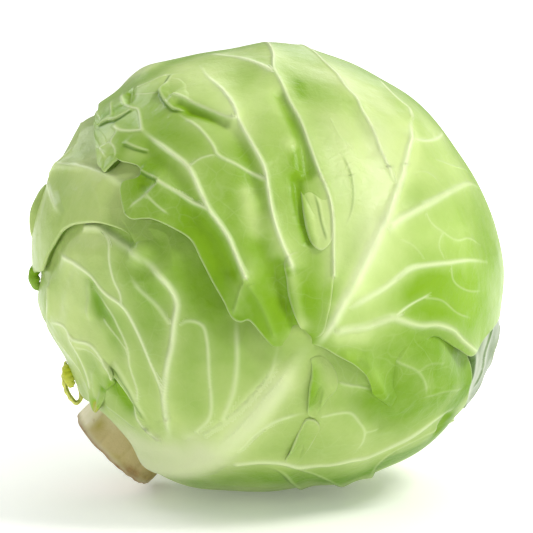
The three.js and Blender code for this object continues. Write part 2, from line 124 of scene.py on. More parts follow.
@dataclass(frozen=True)
class HeadForm:
    """The head as a whole, the view it was photographed from, and its cut stem, as the CAD has them.

    Args:
        height: its centre above the surface it lies on.
        depth: its radius towards the viewer and away.
        flat_cut: what its flat spot takes off the outermost leaf.
        across: its radii across the view every 10 degrees, from the right, anticlockwise.
        view_distance: the camera's distance from the centre.
        view_elevation: the camera's angle above the horizon.
        pixel: millimetres to a pixel at the centre.
        head_pixel: where the centre shows.
        cut_end: the middle of the cut face from the centre: right, up and near.
        stem_azimuth: the stem's axis below the horizontal, to the left.
        stem_away: the stem's axis turned from the viewer.
        hollow: how far from the centre along the stem's axis the leaves end round it.
        hollow_width: how far to each side that hollow reaches.
        hollow_side: how far its middle lies towards the lower right of the axis.
        hollow_flare: how much further out the leaves end at its sides.
        hollow_soft: over what distance they draw in.
    """

    height: float = 79.6
    depth: float = 83.0
    flat_cut: float = 0.25
    across: tuple[float, ...] = (
        84.0, 82.2, 80.7, 79.4, 79.0, 79.3, 78.6, 79.0, 79.6, 80.7, 79.9, 81.7, 83.5, 83.4, 85.4, 84.4,
        85.2, 85.9, 85.0, 83.8, 81.9, 81.3, 82.8, 83.2, 83.6, 83.2, 80.8, 79.9, 79.2, 81.8, 82.2, 84.5,
        85.6, 86.8, 85.2, 83.8)
    view_distance: float = 900.0
    view_elevation: float = math.radians(9)
    pixel: float = 0.36
    head_pixel: tuple[float, float] = (270, 268)
    cut_end: tuple[float, float, float] = (-57.5, -65.8, -7)
    stem_azimuth: float = math.radians(45.5)
    stem_away: float = math.radians(6)
    hollow: float = 73.0
    hollow_width: float = 15.0
    hollow_side: float = 3.0
    hollow_flare: float = 4.0
    hollow_soft: float = 1.6

    # how often the distance of a pixel's point is worked out anew
    PIXEL_ROUNDS = 8

    @cached_property
    def axes(self) -> Vectors:
        """Right, up and near of the view, as rows."""
        rise, level = math.sin(self.view_elevation), math.cos(self.view_elevation)
        return np.array([[1, 0, 0], [0, rise, level], [0, -level, rise]])

    @cached_property
    def centre(self) -> Vectors:
        """The head's centre."""
        return np.array([0, 0, self.height])

    def from_view(self, places: Any) -> Vectors:
        """Turns right, up and near into the row frame."""
        return np.asarray(places, float) @ self.axes

    def across_radius(self, angle: Vectors) -> Vectors:
        """Runs a smooth curve through the radii across the view.

        Args:
            angle: from the right, anticlockwise, in radians.

        Returns:
            The radius there.
        """
        count = len(self.across)
        place = (angle / (2 * math.pi) * count) % count
        i = np.floor(place).astype(int)
        t = place - i
        a, b, c, d = (np.array(self.across)[(i + k) % count] for k in (-1, 0, 1, 2))
        return b + 0.5 * t * (c - a + t * (2 * a - 5 * b + 4 * c - d + t * (3 * (b - c) + d - a)))

    def radius(self, directions: Vectors) -> Vectors:
        """Gives the head its radii, pressed flat where it rests.

        Args:
            directions: the places.

        Returns:
            The radius along each.
        """
        right, up, near = (directions @ self.axes.T).T
        flat = np.hypot(right, up)
        free = 1 / np.hypot(flat / self.across_radius(np.arctan2(up, right)), near / self.depth)
        free = free - self.hollow_depth(directions, free)
        pressed = (self.height + self.flat_cut) / np.maximum(-directions[:, 2], 0.1)
        return np.minimum(free, pressed)

    @cached_property
    def stem_axis(self) -> Vectors:
        """The direction of the stem's axis, out of the head."""
        level = math.cos(self.stem_away)
        return self.from_view([-math.cos(self.stem_azimuth) * level, -math.sin(self.stem_azimuth) * level,
                               -math.sin(self.stem_away)])

    def hollow_depth(self, directions: Vectors, free: Vectors) -> Vectors:
        """Draws the leaves in towards the stem.

        Args:
            directions: the places.
            free: the radius along each without the hollow.

        Returns:
            What the hollow takes off each radius.
        """
        along = np.maximum(directions @ self.stem_axis, 0.05)
        beside = unit(np.cross(self.axes[2], self.stem_axis))
        offset = np.abs(free * (directions @ beside) - self.hollow_side) / self.hollow_width
        limit = (self.hollow + self.hollow_flare * offset**3) / along
        over = np.clip((free - limit) / self.hollow_soft, -8, 8)
        return self.hollow_soft * np.log1p(np.exp(over * 2)) / 2

    def aside(self, x: Any, y: Any) -> tuple[Any, Any]:
        """Returns how far right and up of the head's centre pixels lie, at its distance."""
        return (x - self.head_pixel[0]) * self.pixel, (self.head_pixel[1] - y) * self.pixel

    def away_from(self, directions: Vectors, pixel: Place) -> Vectors:
        """Returns how far directions are from the point that shows at a pixel, along the head."""
        return np.linalg.norm(directions - self.at_pixel([pixel]), axis=1) * self.depth

    def toward(self, places: Any) -> Vectors:
        """Returns directions, which are given as they are or as pixels."""
        return places if isinstance(places, np.ndarray) else self.at_pixel(places)

    def at_pixel(self, places: Iterable[Place]) -> Vectors:
        """Finds the points of the head that show at pixels.

        Args:
            places: the pixels, each with -1 after it if its point is on the far side.

        Returns:
            The directions to the points, as rows.
        """
        marks = np.array([(x, y, *(side or (1,))) for x, y, *side in places], float)
        right, up = self.aside(marks[:, 0], marks[:, 1])
        limb = self.across_radius(np.arctan2(up, right))
        near = np.zeros(len(marks))
        for _ in range(self.PIXEL_ROUNDS):
            scale = 1 - near / self.view_distance
            part = np.minimum(1, np.hypot(right, up) * scale / limb)
            near = marks[:, 2] * self.depth * np.sqrt(1 - part**2)
        return unit(self.from_view(np.stack([right * scale, up * scale, near], axis=1)))

    @cached_property
    def poles(self) -> Vectors:
        """The direction of the cut stem, the front across it and the upper left, as rows."""
        south = unit(self.from_view(self.cut_end))
        near = self.axes[2]
        front = unit(near - near @ south * south)
        return np.array([south, front, np.cross(south, front)])

    def on_meridian(self, longitude: Any, from_stem: Any) -> Vectors:
        """Finds directions by longitude and latitude.

        Args:
            longitude: round the stem from the front, in degrees.
            from_stem: angle from it, in degrees.

        Returns:
            The directions, as rows.
        """
        turn, down = np.radians(longitude)[..., None], np.radians(from_stem)[..., None]
        south, front, upper_left = self.poles
        return np.cos(down) * south + np.sin(down) * (np.cos(turn) * front + np.sin(turn) * upper_left)


HEAD = HeadForm()


class Trace:
    """A line over the head that distances are measured from."""

    # the distance between its samples, the fewest that it has, and how many places are measured at once
    STEP = 1.5
    FEWEST = 6
    BLOCK = 20000
    # a reach that takes in the whole head
    ALL = 400

    def __init__(self, points: Vectors) -> None:
        """Keeps the line's samples, one or more."""
        self.points = points

    @classmethod
    def through(cls, points: Vectors) -> Trace:
        """Samples a smooth line.

        Args:
            points: the directions it runs through, one or more.

        Returns:
            The line.
        """
        if len(points) > 1:
            length = np.linalg.norm(np.diff(points, axis=0), axis=1).sum() * HEAD.depth
            points = unit(smooth_path(points, max(cls.FEWEST, round(length / cls.STEP))))
        return cls(points)

    def measure(self, directions: Vectors, reach: float) -> tuple[Vectors, Vectors, Vectors, Vectors]:
        """Finds the directions near the line, and where they are from it.

        Args:
            directions: the directions to test.
            reach: how far from the line is near enough.

        Returns:
            The indices of those found, their distances, which are positive on the line's left seen from
            outside and negative on its right, their unsigned distances, and how far along it they are.
        """
        room = reach / HEAD.depth
        low, high = self.points.min(0) - room, self.points.max(0) + room
        found = np.flatnonzero(((directions > low) & (directions < high)).all(1))
        chosen = directions[found]
        if len(self.points) == 1:
            away = np.linalg.norm(chosen - self.points[0], axis=1) * HEAD.depth
            return found, away, away, np.zeros(len(found))
        start, step = self.points[:-1], np.diff(self.points, axis=0)
        squares = (step**2).sum(1)
        away, along, side = np.empty((3, len(found)))
        for first in range(0, len(found), self.BLOCK):
            part = slice(first, first + self.BLOCK)
            block = chosen[part]
            ahead = block @ step.T - (start * step).sum(1)
            share = np.clip(ahead / squares, 0, 1)
            gaps = ((block**2).sum(1)[:, None] - 2 * (block @ start.T) + (start**2).sum(1)
                    - 2 * share * ahead + share**2 * squares)
            best = gaps.argmin(1)
            rows = np.arange(len(block))
            away[part] = np.sqrt(np.maximum(gaps[rows, best], 0)) * HEAD.depth
            along[part] = (best + share[rows, best]) / len(step)
            left = np.cross(block, step[best])
            side[part] = np.sign(((block - start[best]) * left).sum(1))
        return found, away * side, away, along


class Stroke(Enum):
    """How a line stands out of a leaf."""

    RIB = "raised on both sides"
    FOLD = "raised on its left, with a short drop to its right"


@dataclass(frozen=True)
class Line:
    """A vein, groove or fold of a leaf.

    Args:
        places: the pixels or directions that it passes.
        wide: half its width at its start and end.
        high: its height at its start and end, which is negative for a groove.
        pale: how far it takes the colour of a vein; for a fold it also sets how dark the shade painted into
            its crease is.
        stroke: how it stands out.
        fade: the shares of its length over which it rises at its start and sinks at its end.
    """

    places: Any
    wide: tuple[float, float] = (0.8, 0.6)
    high: tuple[float, float] = (0.45, 0.3)
    pale: float = 0.8
    stroke: Stroke = Stroke.RIB
    fade: tuple[float, float] = (0.0, 0.2)

    # how far from a vein the blade swells with it, and the height past which it swells no more
    SWELL = 3.6
    MOST_SWELL = 0.9
    # the least half-width that the mesh shows, and the one past which a line's side doesn't matter
    LEAST = 0.95
    SIDED = 1.15
    # a line's foot in half-widths, the least foot of a fold, and the width of its drop
    FOOT = 3.5
    FOLD_FOOT = 7.0
    DROP = 0.6
    # the share of a vein's height that lies in its crest and in its foot
    CREST_SHARE = 0.6
    FOOT_SHARE = 0.25
    # half-widths between which a line's colour ends, and half-widths between which its bump does
    COLOUR_END = (1.3, 2.0)
    BUMP_END = (1.2, 2.5)

    @cached_property
    def trace(self) -> Trace:
        """The line's trace over the head."""
        return Trace.through(HEAD.toward(self.places))

    def mark(self, directions: Vectors, heights: Vectors, masks: Vectors, crests: Vectors) -> None:
        """Adds the line to a leaf's surface.

        Args:
            directions: the places.
            heights: how far the leaf stands out there.
            masks: its colours there.
            crests: the lines that show most there.
        """
        reach = max(self.FOOT * max(self.wide), 2.2 * self.SWELL)
        found, signed, away, along = self.trace.measure(directions, reach)
        drawn = self.wide[0] + (self.wide[1] - self.wide[0]) * along
        wide = np.maximum(drawn, self.LEAST)
        high = self.high[0] + (self.high[1] - self.high[0]) * along
        across = np.exp(-((away / (0.8 * wide)) ** 2))
        skirt = np.clip(1 - (away / (self.FOOT * wide)) ** 2, 0, 1) ** 2
        taper = smoothstep(1 - along, 0, self.fade[1])
        if self.fade[0] > 0:
            taper = taper * smoothstep(along, 0, self.fade[0])
        high = high * taper
        fold = self.stroke is Stroke.FOLD
        if fold:
            slope = np.clip(1 - away / np.maximum(self.FOOT * wide, self.FOLD_FOOT), 0, 1) ** 2
            heights[found] += high * np.where(signed > 0, slope, 1 - smoothstep(away, 0, self.DROP))
            pale = self.pale * taper
        else:
            swell = np.clip(high, 0, self.MOST_SWELL) * np.exp(-((away / (self.SWELL + wide)) ** 2))
            heights[found] += high * (self.CREST_SHARE * across + self.FOOT_SHARE * skirt) + swell
            masks[found, 1] -= 0.18 * swell
            pale = self.pale * (0.25 + 0.75 * taper)
            masks[found, 0] = np.maximum(masks[found, 0], 0.14 * skirt * pale)
        share = (signed if fold or max(self.wide) < self.SIDED else away) / drawn
        shown = pale * np.exp(-np.abs(share))
        keep = shown > crests[found, 4]
        window = 1 - smoothstep(np.abs(share), *self.COLOUR_END)
        fine = 1 - smoothstep(drawn, *self.BUMP_END)
        folded = np.full(len(found), float(fold))
        values = np.stack([share, pale * window, high * window * fine, folded, shown], axis=1)
        crests[found[keep]] = values[keep]


@dataclass(frozen=True)
class Patch:
    """A soft spot or swath of a leaf that is raised or coloured otherwise.

    Args:
        places: the pixels along its middle, one or more.
        reach: its soft radius.
        rise: how far it stands out.
        tone: what it adds to the richness of the green; in hollows, creases and gaps it paints their shade,
            and taken away on some glossy spots it paints a highlight.
        sun: what it adds to the yellow of the green.
        white: how far it takes the colour of a midrib's base; some patches use it to paint a sheen.
        settle: the tone and sun that it takes the leaf to in its middle, if it does.
    """

    places: Any
    reach: float
    rise: float = 0.0
    tone: float = 0.0
    sun: float = 0.0
    white: float = 0.0
    settle: tuple[float, float] | None = None

    # how much wider than its soft spot a patch settles the leaf in full
    SETTLE_GAIN = 1.7

    def mark(self, directions: Vectors, heights: Vectors, masks: Vectors, _: Vectors) -> None:
        """Adds the patch to a leaf's surface.

        Args:
            directions: the places.
            heights: how far the leaf stands out there.
            masks: its colours there.
            _: the lines that show most there, which a patch leaves alone.
        """
        found, _, away, _ = Trace.through(HEAD.toward(self.places)).measure(directions, 2.5 * self.reach)
        soft = np.exp(-((away / self.reach) ** 2))
        heights[found] += self.rise * soft
        masks[found, 1] += self.tone * soft
        masks[found, 2] += self.sun * soft
        masks[found, 3] = np.maximum(masks[found, 3], self.white * soft)
        if self.settle:
            full = np.clip(self.SETTLE_GAIN * soft, 0, 1)[:, None]
            masks[found, 1:3] += full * (np.array(self.settle) - masks[found, 1:3])


@dataclass(frozen=True)
class Waves:
    """Gentle random undulation of a leaf, as a sum of sine waves.

    Args:
        seed: what the draw starts from.
        height: the undulation's usual height.
        lengths: the shortest and longest wave.
        count: how many waves it is the sum of.
    """

    seed: int
    height: float = 0.35
    lengths: tuple[float, float] = (14.0, 60.0)
    count: int = 26

    def read(self, directions: Vectors) -> Vectors:
        """Adds up the waves.

        Args:
            directions: the places.

        Returns:
            The undulation at each.
        """
        draw = np.random.default_rng(self.seed)
        total = np.zeros(len(directions))
        for _ in range(self.count):
            length = math.exp(draw.uniform(*np.log(self.lengths)))
            turn = unit(draw.normal(size=3)) * 2 * math.pi * HEAD.depth / length
            share = length / self.lengths[1]
            total += share * np.sin(directions @ turn + draw.uniform(0, 2 * math.pi))
        return total * self.height * 2 / math.sqrt(self.count)


@dataclass
class Relief:
    """What stands out of a leaf and how it is coloured.

    Args:
        waves: its undulation.
        lines: its veins, grooves and folds.
        patches: its soft spots.
        tone: the richness of its green, from 0 to 1.
        sun: the yellow of its green, from 0 to 1.
    """

    waves: Waves
    lines: Sequence[Line] = ()
    patches: Sequence[Patch] = ()
    tone: float = 0.5
    sun: float = 0.3

    def read(self, directions: Vectors) -> tuple[Vectors, Vectors, Vectors]:
        """Reads the relief along directions.

        Args:
            directions: the places.

        Returns:
            The heights; masks for skirts of veins, tone, sun and white; and crests: the distance from the
            line that shows most in its half-widths, its paleness, its height and whether it is a fold.
        """
        heights = self.waves.read(directions)
        masks = np.tile([0.0, self.tone, self.sun, 0.0], (len(directions), 1))
        crests = np.tile(NO_LINE, (len(directions), 1))
        for mark in (*self.patches, *self.lines):
            mark.mark(directions, heights, masks, crests)
        return heights, np.clip(masks, 0, 1), crests[:, :4]


class Outline:
    """A leaf's closed edge as directions from the head's centre, round a middle that sees all of it."""

    SAMPLES = 1600
    # how far a direction may point away from the viewer and count as seen
    SEEN = -0.12
    # the grid's share of cells along a hidden edge, and least share of its rings on the seen side
    HIDDEN_WEIGHT = 0.12
    SEEN_SHARE = 0.88
    # how many places a ray is tried at, and over how many rays to each side their reach is evened
    RAY_STEPS = 41
    EVENED = 40

    def __init__(self, middle: Vectors, corners: Vectors) -> None:
        """Runs a smooth closed curve through the corners.

        Args:
            middle: the direction that sees all of the edge.
            corners: directions that the edge passes.
        """
        self.middle = middle
        self.east = unit(np.cross([0.3, 0.2, 1.0], middle))
        self.north = np.cross(middle, self.east)
        loop = unit(smooth_path(corners, self.SAMPLES, closed=True))
        if np.cross(loop, np.roll(loop, -1, axis=0)).sum(0) @ middle < 0:
            loop = loop[::-1]
        self.loop = loop

    @classmethod
    def from_pixels(cls, middle: Place, corners: Iterable[Place]) -> Outline:
        """Makes an outline from pixels."""
        return cls(HEAD.at_pixel([middle])[0], HEAD.at_pixel(corners))

    @cached_property
    def polar(self) -> Vectors:
        """The loop's places on a flat map round the middle, in millimetres."""
        return self.to_map(self.loop)

    def to_map(self, directions: Vectors) -> Vectors:
        """Flattens directions on a map that keeps distances from the middle.

        Args:
            directions: the places.

        Returns:
            Their places on the map.
        """
        angle = np.arccos(np.clip(directions @ self.middle, -1, 1))
        flat = np.stack([directions @ self.east, directions @ self.north], axis=1)
        return flat * (angle / np.maximum(np.sin(angle), 1e-9))[:, None] * HEAD.depth

    def from_map(self, flat: Vectors) -> Vectors:
        """Turns places on the map back into directions.

        Args:
            flat: the places on the map.

        Returns:
            The directions, as rows.
        """
        angle = np.linalg.norm(flat, axis=1)[:, None] / HEAD.depth
        ahead = flat[:, :1] * self.east + flat[:, 1:] * self.north
        return np.cos(angle) * self.middle + np.sinc(angle / math.pi) * ahead / HEAD.depth

    def spread(self, share: Vectors, turn: Vectors) -> tuple[Vectors, Vectors]:
        """Places a grid's rings in the outline, close together where the photographed side is seen.

        Args:
            share: each place's ring, from 0 at the middle to 1 at the edge.
            turn: how far round its ring each place is, from 0 to 1.

        Returns:
            The directions, and each place's distance from the edge.
        """
        polar = np.vstack([self.polar, self.polar[:1]])
        parts = np.linspace(0, 1, self.RAY_STEPS)
        rays = self.from_map((polar[:, None] * parts[None, :, None]).reshape(-1, 2))
        seen = (rays @ HEAD.axes[2] > self.SEEN).reshape(len(polar), -1)
        reach = np.where(seen.any(1), parts[seen.shape[1] - 1 - seen[:, ::-1].argmax(1)], 1)
        window = np.ones(2 * self.EVENED + 1) / (2 * self.EVENED + 1)
        reach = np.convolve(np.pad(reach[:-1], self.EVENED, mode="wrap"), window, mode="valid")
        reach = np.append(reach, reach[0])
        seen_edge = self.from_map(polar * reach[:, None])
        weights = np.linalg.norm(np.diff(seen_edge, axis=0), axis=1)
        weights += self.HIDDEN_WEIGHT * np.linalg.norm(np.diff(polar, axis=0), axis=1) / HEAD.depth
        run = np.concatenate([[0], np.cumsum(weights)]) / weights.sum()
        edge = between_rows(turn, run, polar[:, :2])
        cut = np.interp(turn, run, reach)
        knee = np.where(cut > self.SEEN_SHARE, cut, self.SEEN_SHARE)
        inner = np.maximum(knee, 1e-6)
        graded = np.where(share < inner, share * cut / inner,
                          cut + (1 - cut) * (share - inner) / np.maximum(1 - inner, 1e-6))
        graded = np.where(share >= 1, share, graded)
        length = np.linalg.norm(edge, axis=1)
        return self.from_map(edge * graded[:, None]), (1 - graded) * length

    def depth(self, directions: Vectors) -> Vectors:
        """Measures how far inside the outline directions lie, along rays from its middle.

        Args:
            directions: the places.

        Returns:
            The distances, negative outside.
        """
        flat = self.to_map(directions)
        turn = np.arctan2(flat[:, 1], flat[:, 0])
        edge_turn = np.arctan2(self.polar[:, 1], self.polar[:, 0])
        order = np.argsort(edge_turn)
        edge = np.interp(turn, edge_turn[order], np.linalg.norm(self.polar, axis=1)[order],
                         period=2 * math.pi)
        return edge - np.linalg.norm(flat, axis=1)

    def cover(self, directions: Vectors, ramp: float) -> Vectors:
        """Tells where the leaf is.

        Args:
            directions: the places.
            ramp: over what distance past the edge the result falls.

        Returns:
            1 on the leaf, falling smoothly to 0 at ramp from its edge.
        """
        result = (self.depth(directions) > 0).astype(float)
        ring = Trace(np.vstack([self.loop[::4], self.loop[:1]]))
        found, _, away, _ = ring.measure(directions, ramp)
        outside = found[result[found] < 1]
        result[outside] = 1 - smoothstep(away[result[found] < 1], 0, ramp)
        return result


def add_primitive(adder: Callable[..., Any], name: str, **sizes: Any) -> bpy.types.Object:
    """Adds one of Blender's primitives with nothing else selected.

    Args:
        adder: the operator that adds it.
        name: the piece's name.
        sizes: what the operator takes.

    Returns:
        The piece.
    """
    bpy.ops.object.select_all(action="DESELECT")
    adder(**sizes)
    piece = bpy.context.active_object
    piece.name = piece.data.name = name
    return piece


def pattern_grid(name: str, cells: int, rings: int) -> bpy.types.Object:
    """Adds a flat square grid whose border is extruded down ring by ring and closed in one point.

    Args:
        name: the piece's name.
        cells: how many cells the grid has along each side.
        rings: how many rings lie below its border, the last of which is the closing point.

    Returns:
        The piece, whose x and y run from -1 to 1 over the grid and whose z is minus a ring's number.
    """
    piece = add_primitive(bpy.ops.mesh.primitive_grid_add, name, x_subdivisions=cells,
                          y_subdivisions=cells, size=2)
    bpy.ops.object.mode_set(mode="EDIT")
    bpy.ops.mesh.select_mode(type="EDGE")
    bpy.ops.mesh.select_all(action="SELECT")
    bpy.ops.mesh.region_to_loop()
    for _ in range(rings):
        bpy.ops.mesh.extrude_edges_move(TRANSFORM_OT_translate={"value": (0, 0, -1)})
    bpy.ops.mesh.merge(type="CENTER")
    bpy.ops.object.mode_set(mode="OBJECT")
    return piece


def read_places(piece: bpy.types.Object) -> Vectors:
    """Reads the places of a piece's vertices.

    Args:
        piece: the piece.

    Returns:
        The places, as rows.
    """
    places = np.empty(len(piece.data.vertices) * 3, np.float32)
    piece.data.vertices.foreach_get("co", places)
    return places.reshape(-1, 3).astype(float)


def write_places(piece: bpy.types.Object, places: Vectors) -> None:
    """Moves a piece's vertices and shades it smooth.

    Args:
        piece: the piece.
        places: where they go, in millimetres, as rows.
    """
    piece.data.vertices.foreach_set("co", (places * MM).astype(np.float32).ravel())
    piece.data.update()
    bpy.ops.object.select_all(action="DESELECT")
    piece.select_set(True)
    bpy.context.view_layer.objects.active = piece
    bpy.ops.object.mode_set(mode="EDIT")
    bpy.ops.mesh.select_all(action="SELECT")
    bpy.ops.mesh.normals_make_consistent(inside=False)
    bpy.ops.object.mode_set(mode="OBJECT")
    bpy.ops.object.shade_smooth()


def write_masks(piece: bpy.types.Object, masks: Vectors, name: str = MASKS) -> None:
    """Keeps four masks from 0 to 1 with a piece's vertices."""
    attribute = piece.data.color_attributes.new(name=name, type="FLOAT_COLOR", domain="POINT")
    attribute.data.foreach_set("color", masks.astype(np.float32).ravel())


def write_even_skin(piece: bpy.types.Object, masks: Vectors) -> None:
    """Keeps the masks of a piece that has no lines.

    Args:
        piece: the piece.
        masks: vein, tone, sun and white at each vertex.
    """
    write_masks(piece, masks)
    crest = np.array(NO_LINE[:4]) * CREST_SCALE + CREST_START
    write_masks(piece, np.tile(crest, (len(masks), 1)), CRESTS)


def dress(piece: bpy.types.Object, material: bpy.types.Material, slot: str, *nodes: str) -> None:
    """Gives a piece its material and its place in the frame.

    Args:
        piece: the piece.
        material: its finish.
        slot: the record's slot of that finish, which is not used.
        nodes: the CAD nodes that it stands for.
    """
    piece.data.materials.clear()
    piece.data.materials.append(material)
    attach(piece, BODY)
    if nodes:
        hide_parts(*nodes)
    LOG.info("%s: %d faces", piece.name, len(piece.data.polygons))


@dataclass(frozen=True)
class EdgeLift:
    """Where a leaf's edge stands up from what it lies on, or sinks into it.

    Args:
        place: the pixel round which it does.
        span: how far along the edge it does.
        lift: how far it stands up, or sinks where negative.
        reach: how far into the leaf that carries.
    """

    place: Place
    span: float
    lift: float
    reach: float = 8.0


@dataclass
class LeafSheet:
    """A leaf, or a part of one: a thin closed shell that follows the head inside an outline.

    Args:
        name: the piece's name.
        outline: its edge.
        relief: what stands out of it and its colours.
        base: how far it lies under the head's form, along directions.
        cells: how many cells its grid has along each side.
        thickness: of its blade.
        lifts: where its edge stands up or sinks.
        rim: how pale its torn edge is.
        frill: the height, number and reach of the waves of its edge.
        ceiling: the greatest height above the head's form that leaves over it allow, if any do.
        joined: where its edge runs on into the leaf under it, from 0 to 1, if it does.
    """

    name: str
    outline: Outline
    relief: Relief
    base: Callable[[Vectors], Vectors]
    cells: int = 120
    thickness: float = 0.8
    lifts: Sequence[EdgeLift] = ()
    rim: float = 0.5
    frill: tuple[float, int, float] = (0.0, 0, 20.0)
    ceiling: Callable[[Vectors], Vectors] | None = None
    joined: Callable[[Vectors], Vectors] | None = None

    # minus the cosines of the angles from the stem between which the relief sets in, from this share on
    BY_THE_STEM = (-0.975, -0.85)
    STEM_SHARE = 0.15
    # share of the way out and depth in blades of each ring under the edge, the last being the middle
    RINGS = ((1.0, 0.5), (0.9985, 1.0), (0.985, 1.2), (0.93, 4.0), (0.76, 4.6), (0.55, 4.8),
             (0.34, 4.8), (0.15, 4.8), (0.0, 4.8))
    # how far an edge is rounded off and over what distance, and the width of its pale rim
    EDGE_ROUND = 0.45
    EDGE_REACH = 0.7
    RIM_WIDTH = 0.9
    # between these depths a sunken edge loses its rim
    RIM_SINKS = (0.05, 0.4)
    # how far towards the middle a lift may reach, and how many places of the edge lifts are worked out at
    LIFT_ROOM = 0.9
    EDGE_STEPS = 721

    def build(self) -> bpy.types.Object:
        """Makes the sheet's mesh with its masks."""
        piece = pattern_grid(self.name, self.cells, len(self.RINGS))
        pattern = read_places(piece)
        ring = np.rint(-pattern[:, 2]).astype(int)
        a, b = pattern[:, 0], pattern[:, 1]
        share = np.maximum(np.abs(a), np.abs(b))
        safe = np.maximum(share, 1e-9)
        quarter = np.select([a >= share - 1e-6, b >= share - 1e-6, a <= -share + 1e-6],
                            [0 + (b / safe + 1) / 2, 1 + (1 - a / safe) / 2, 2 + (1 - b / safe) / 2],
                            3 + (a / safe + 1) / 2)
        turn = (quarter / 4) % 1
        inward, depth = np.array([(1.0, 0.0), *self.RINGS])[ring].T
        under = ring > 0
        directions, edge_away = self.outline.spread(np.where(under, inward, share), turn)
        edge_away[under] = (1 - inward[under]) * HEAD.depth
        heights, masks, crests = self.surface(directions)
        if self.ceiling:
            heights = np.minimum(heights, self.ceiling(directions))
        lift = self.edge_lift(turn, edge_away)
        heights += lift
        heights -= self.EDGE_ROUND * np.clip(1 - edge_away / self.EDGE_REACH, 0, 1) ** 2
        heights -= depth * self.thickness
        rim = self.rim * np.clip(1 - edge_away / self.RIM_WIDTH, 0, 1)
        rim = rim * (1 - smoothstep(-lift, *self.RIM_SINKS))
        if self.joined:
            rim *= 1 - self.joined(directions)
        masks[:, 3] = np.maximum(masks[:, 3], rim)
        radii = HEAD.radius(directions) + heights
        radii = np.minimum(radii, HEAD.height / np.maximum(-directions[:, 2], 0.1))
        write_places(piece, HEAD.centre + directions * radii[:, None])
        write_masks(piece, masks)
        write_masks(piece, np.clip(crests * CREST_SCALE + CREST_START, 0, 1), CRESTS)
        return piece

    def surface(self, directions: Vectors) -> tuple[Vectors, Vectors, Vectors]:
        """Reads the blade's surface.

        Args:
            directions: the places.

        Returns:
            Its heights over the head's form, its masks and its crests.
        """
        heights, masks, crests = self.relief.read(directions)
        set_in = smoothstep(-(directions @ HEAD.stem_axis), *self.BY_THE_STEM)
        heights *= self.STEM_SHARE + (1 - self.STEM_SHARE) * set_in
        return heights - self.base(directions), masks, crests

    def edge_lift(self, turn: Vectors, edge_away: Vectors) -> Vectors:
        """Raises the edge by the lifts and the frill.

        Args:
            turn: how far round the sheet each place is, from 0 to 1.
            edge_away: its distance from the edge.

        Returns:
            How far each place is raised.
        """
        total = np.zeros(len(turn))
        steps = np.linspace(0, 1, self.EDGE_STEPS)
        edge, _ = self.outline.spread(np.ones(len(steps)), steps)
        inward = np.linalg.norm(self.outline.to_map(edge), axis=1)
        room = self.LIFT_ROOM * np.interp(turn, steps, inward)
        for lift in self.lifts:
            along = np.exp(-((HEAD.away_from(edge, lift.place) / lift.span) ** 2))
            amount = np.interp(turn, steps, along)
            reach = np.minimum(lift.reach, room)
            total += lift.lift * amount * (1 - smoothstep(edge_away / reach, 0, 1))
        height, waves, reach = self.frill
        near_edge = np.clip(1 - edge_away / reach, 0, 1) ** 2
        wobble = np.sin(2 * math.pi * waves * turn) + 0.5 * np.sin(2 * math.pi * (waves * 2 + 1) * turn + 1)
        return total + height * wobble * near_edge


class Socket:
    """A value in a node tree that Python's operators add Math nodes to."""

    def __init__(self, nodes: Nodes, link: Any) -> None:
        """Wraps an output."""
        self.nodes = nodes
        self.link = link

    def _math(self, operation: str, *values: Any) -> Socket:
        """Adds a Math node."""
        return self.nodes.add("ShaderNodeMath", {"operation": operation}, dict(enumerate(values)))

    def __add__(self, other: Any) -> Socket:
        """Returns the sum."""
        return self._math("ADD", self, other)

    def __sub__(self, other: Any) -> Socket:
        """Returns the difference."""
        return self._math("SUBTRACT", self, other)

    def __rsub__(self, other: Any) -> Socket:
        """Returns a number less this value."""
        return self._math("SUBTRACT", other, self)

    def __mul__(self, other: Any) -> Socket:
        """Returns the product."""
        return self._math("MULTIPLY", self, other)

    __radd__ = __add__
    __rmul__ = __mul__

    def power(self, exponent: float) -> Socket:
        """Returns this value to a power."""
        return self._math("POWER", self, exponent)

    def bell(self) -> Socket:
        """Returns 1 at 0, falling smoothly to both sides."""
        return self._math("EXPONENT", self * self * -1.0)

    def most(self, other: Any) -> Socket:
        """Returns the greater of the two."""
        return self._math("MAXIMUM", self, other)

    def rise(self, low: float, high: float) -> Socket:
        """Returns 0 below low and 1 above high, with a smooth rise between."""
        settings = {"interpolation_type": "SMOOTHSTEP", "clamp": True}
        return self.nodes.add("ShaderNodeMapRange", settings, {0: self, 1: low, 2: high, 3: 0.0, 4: 1.0})


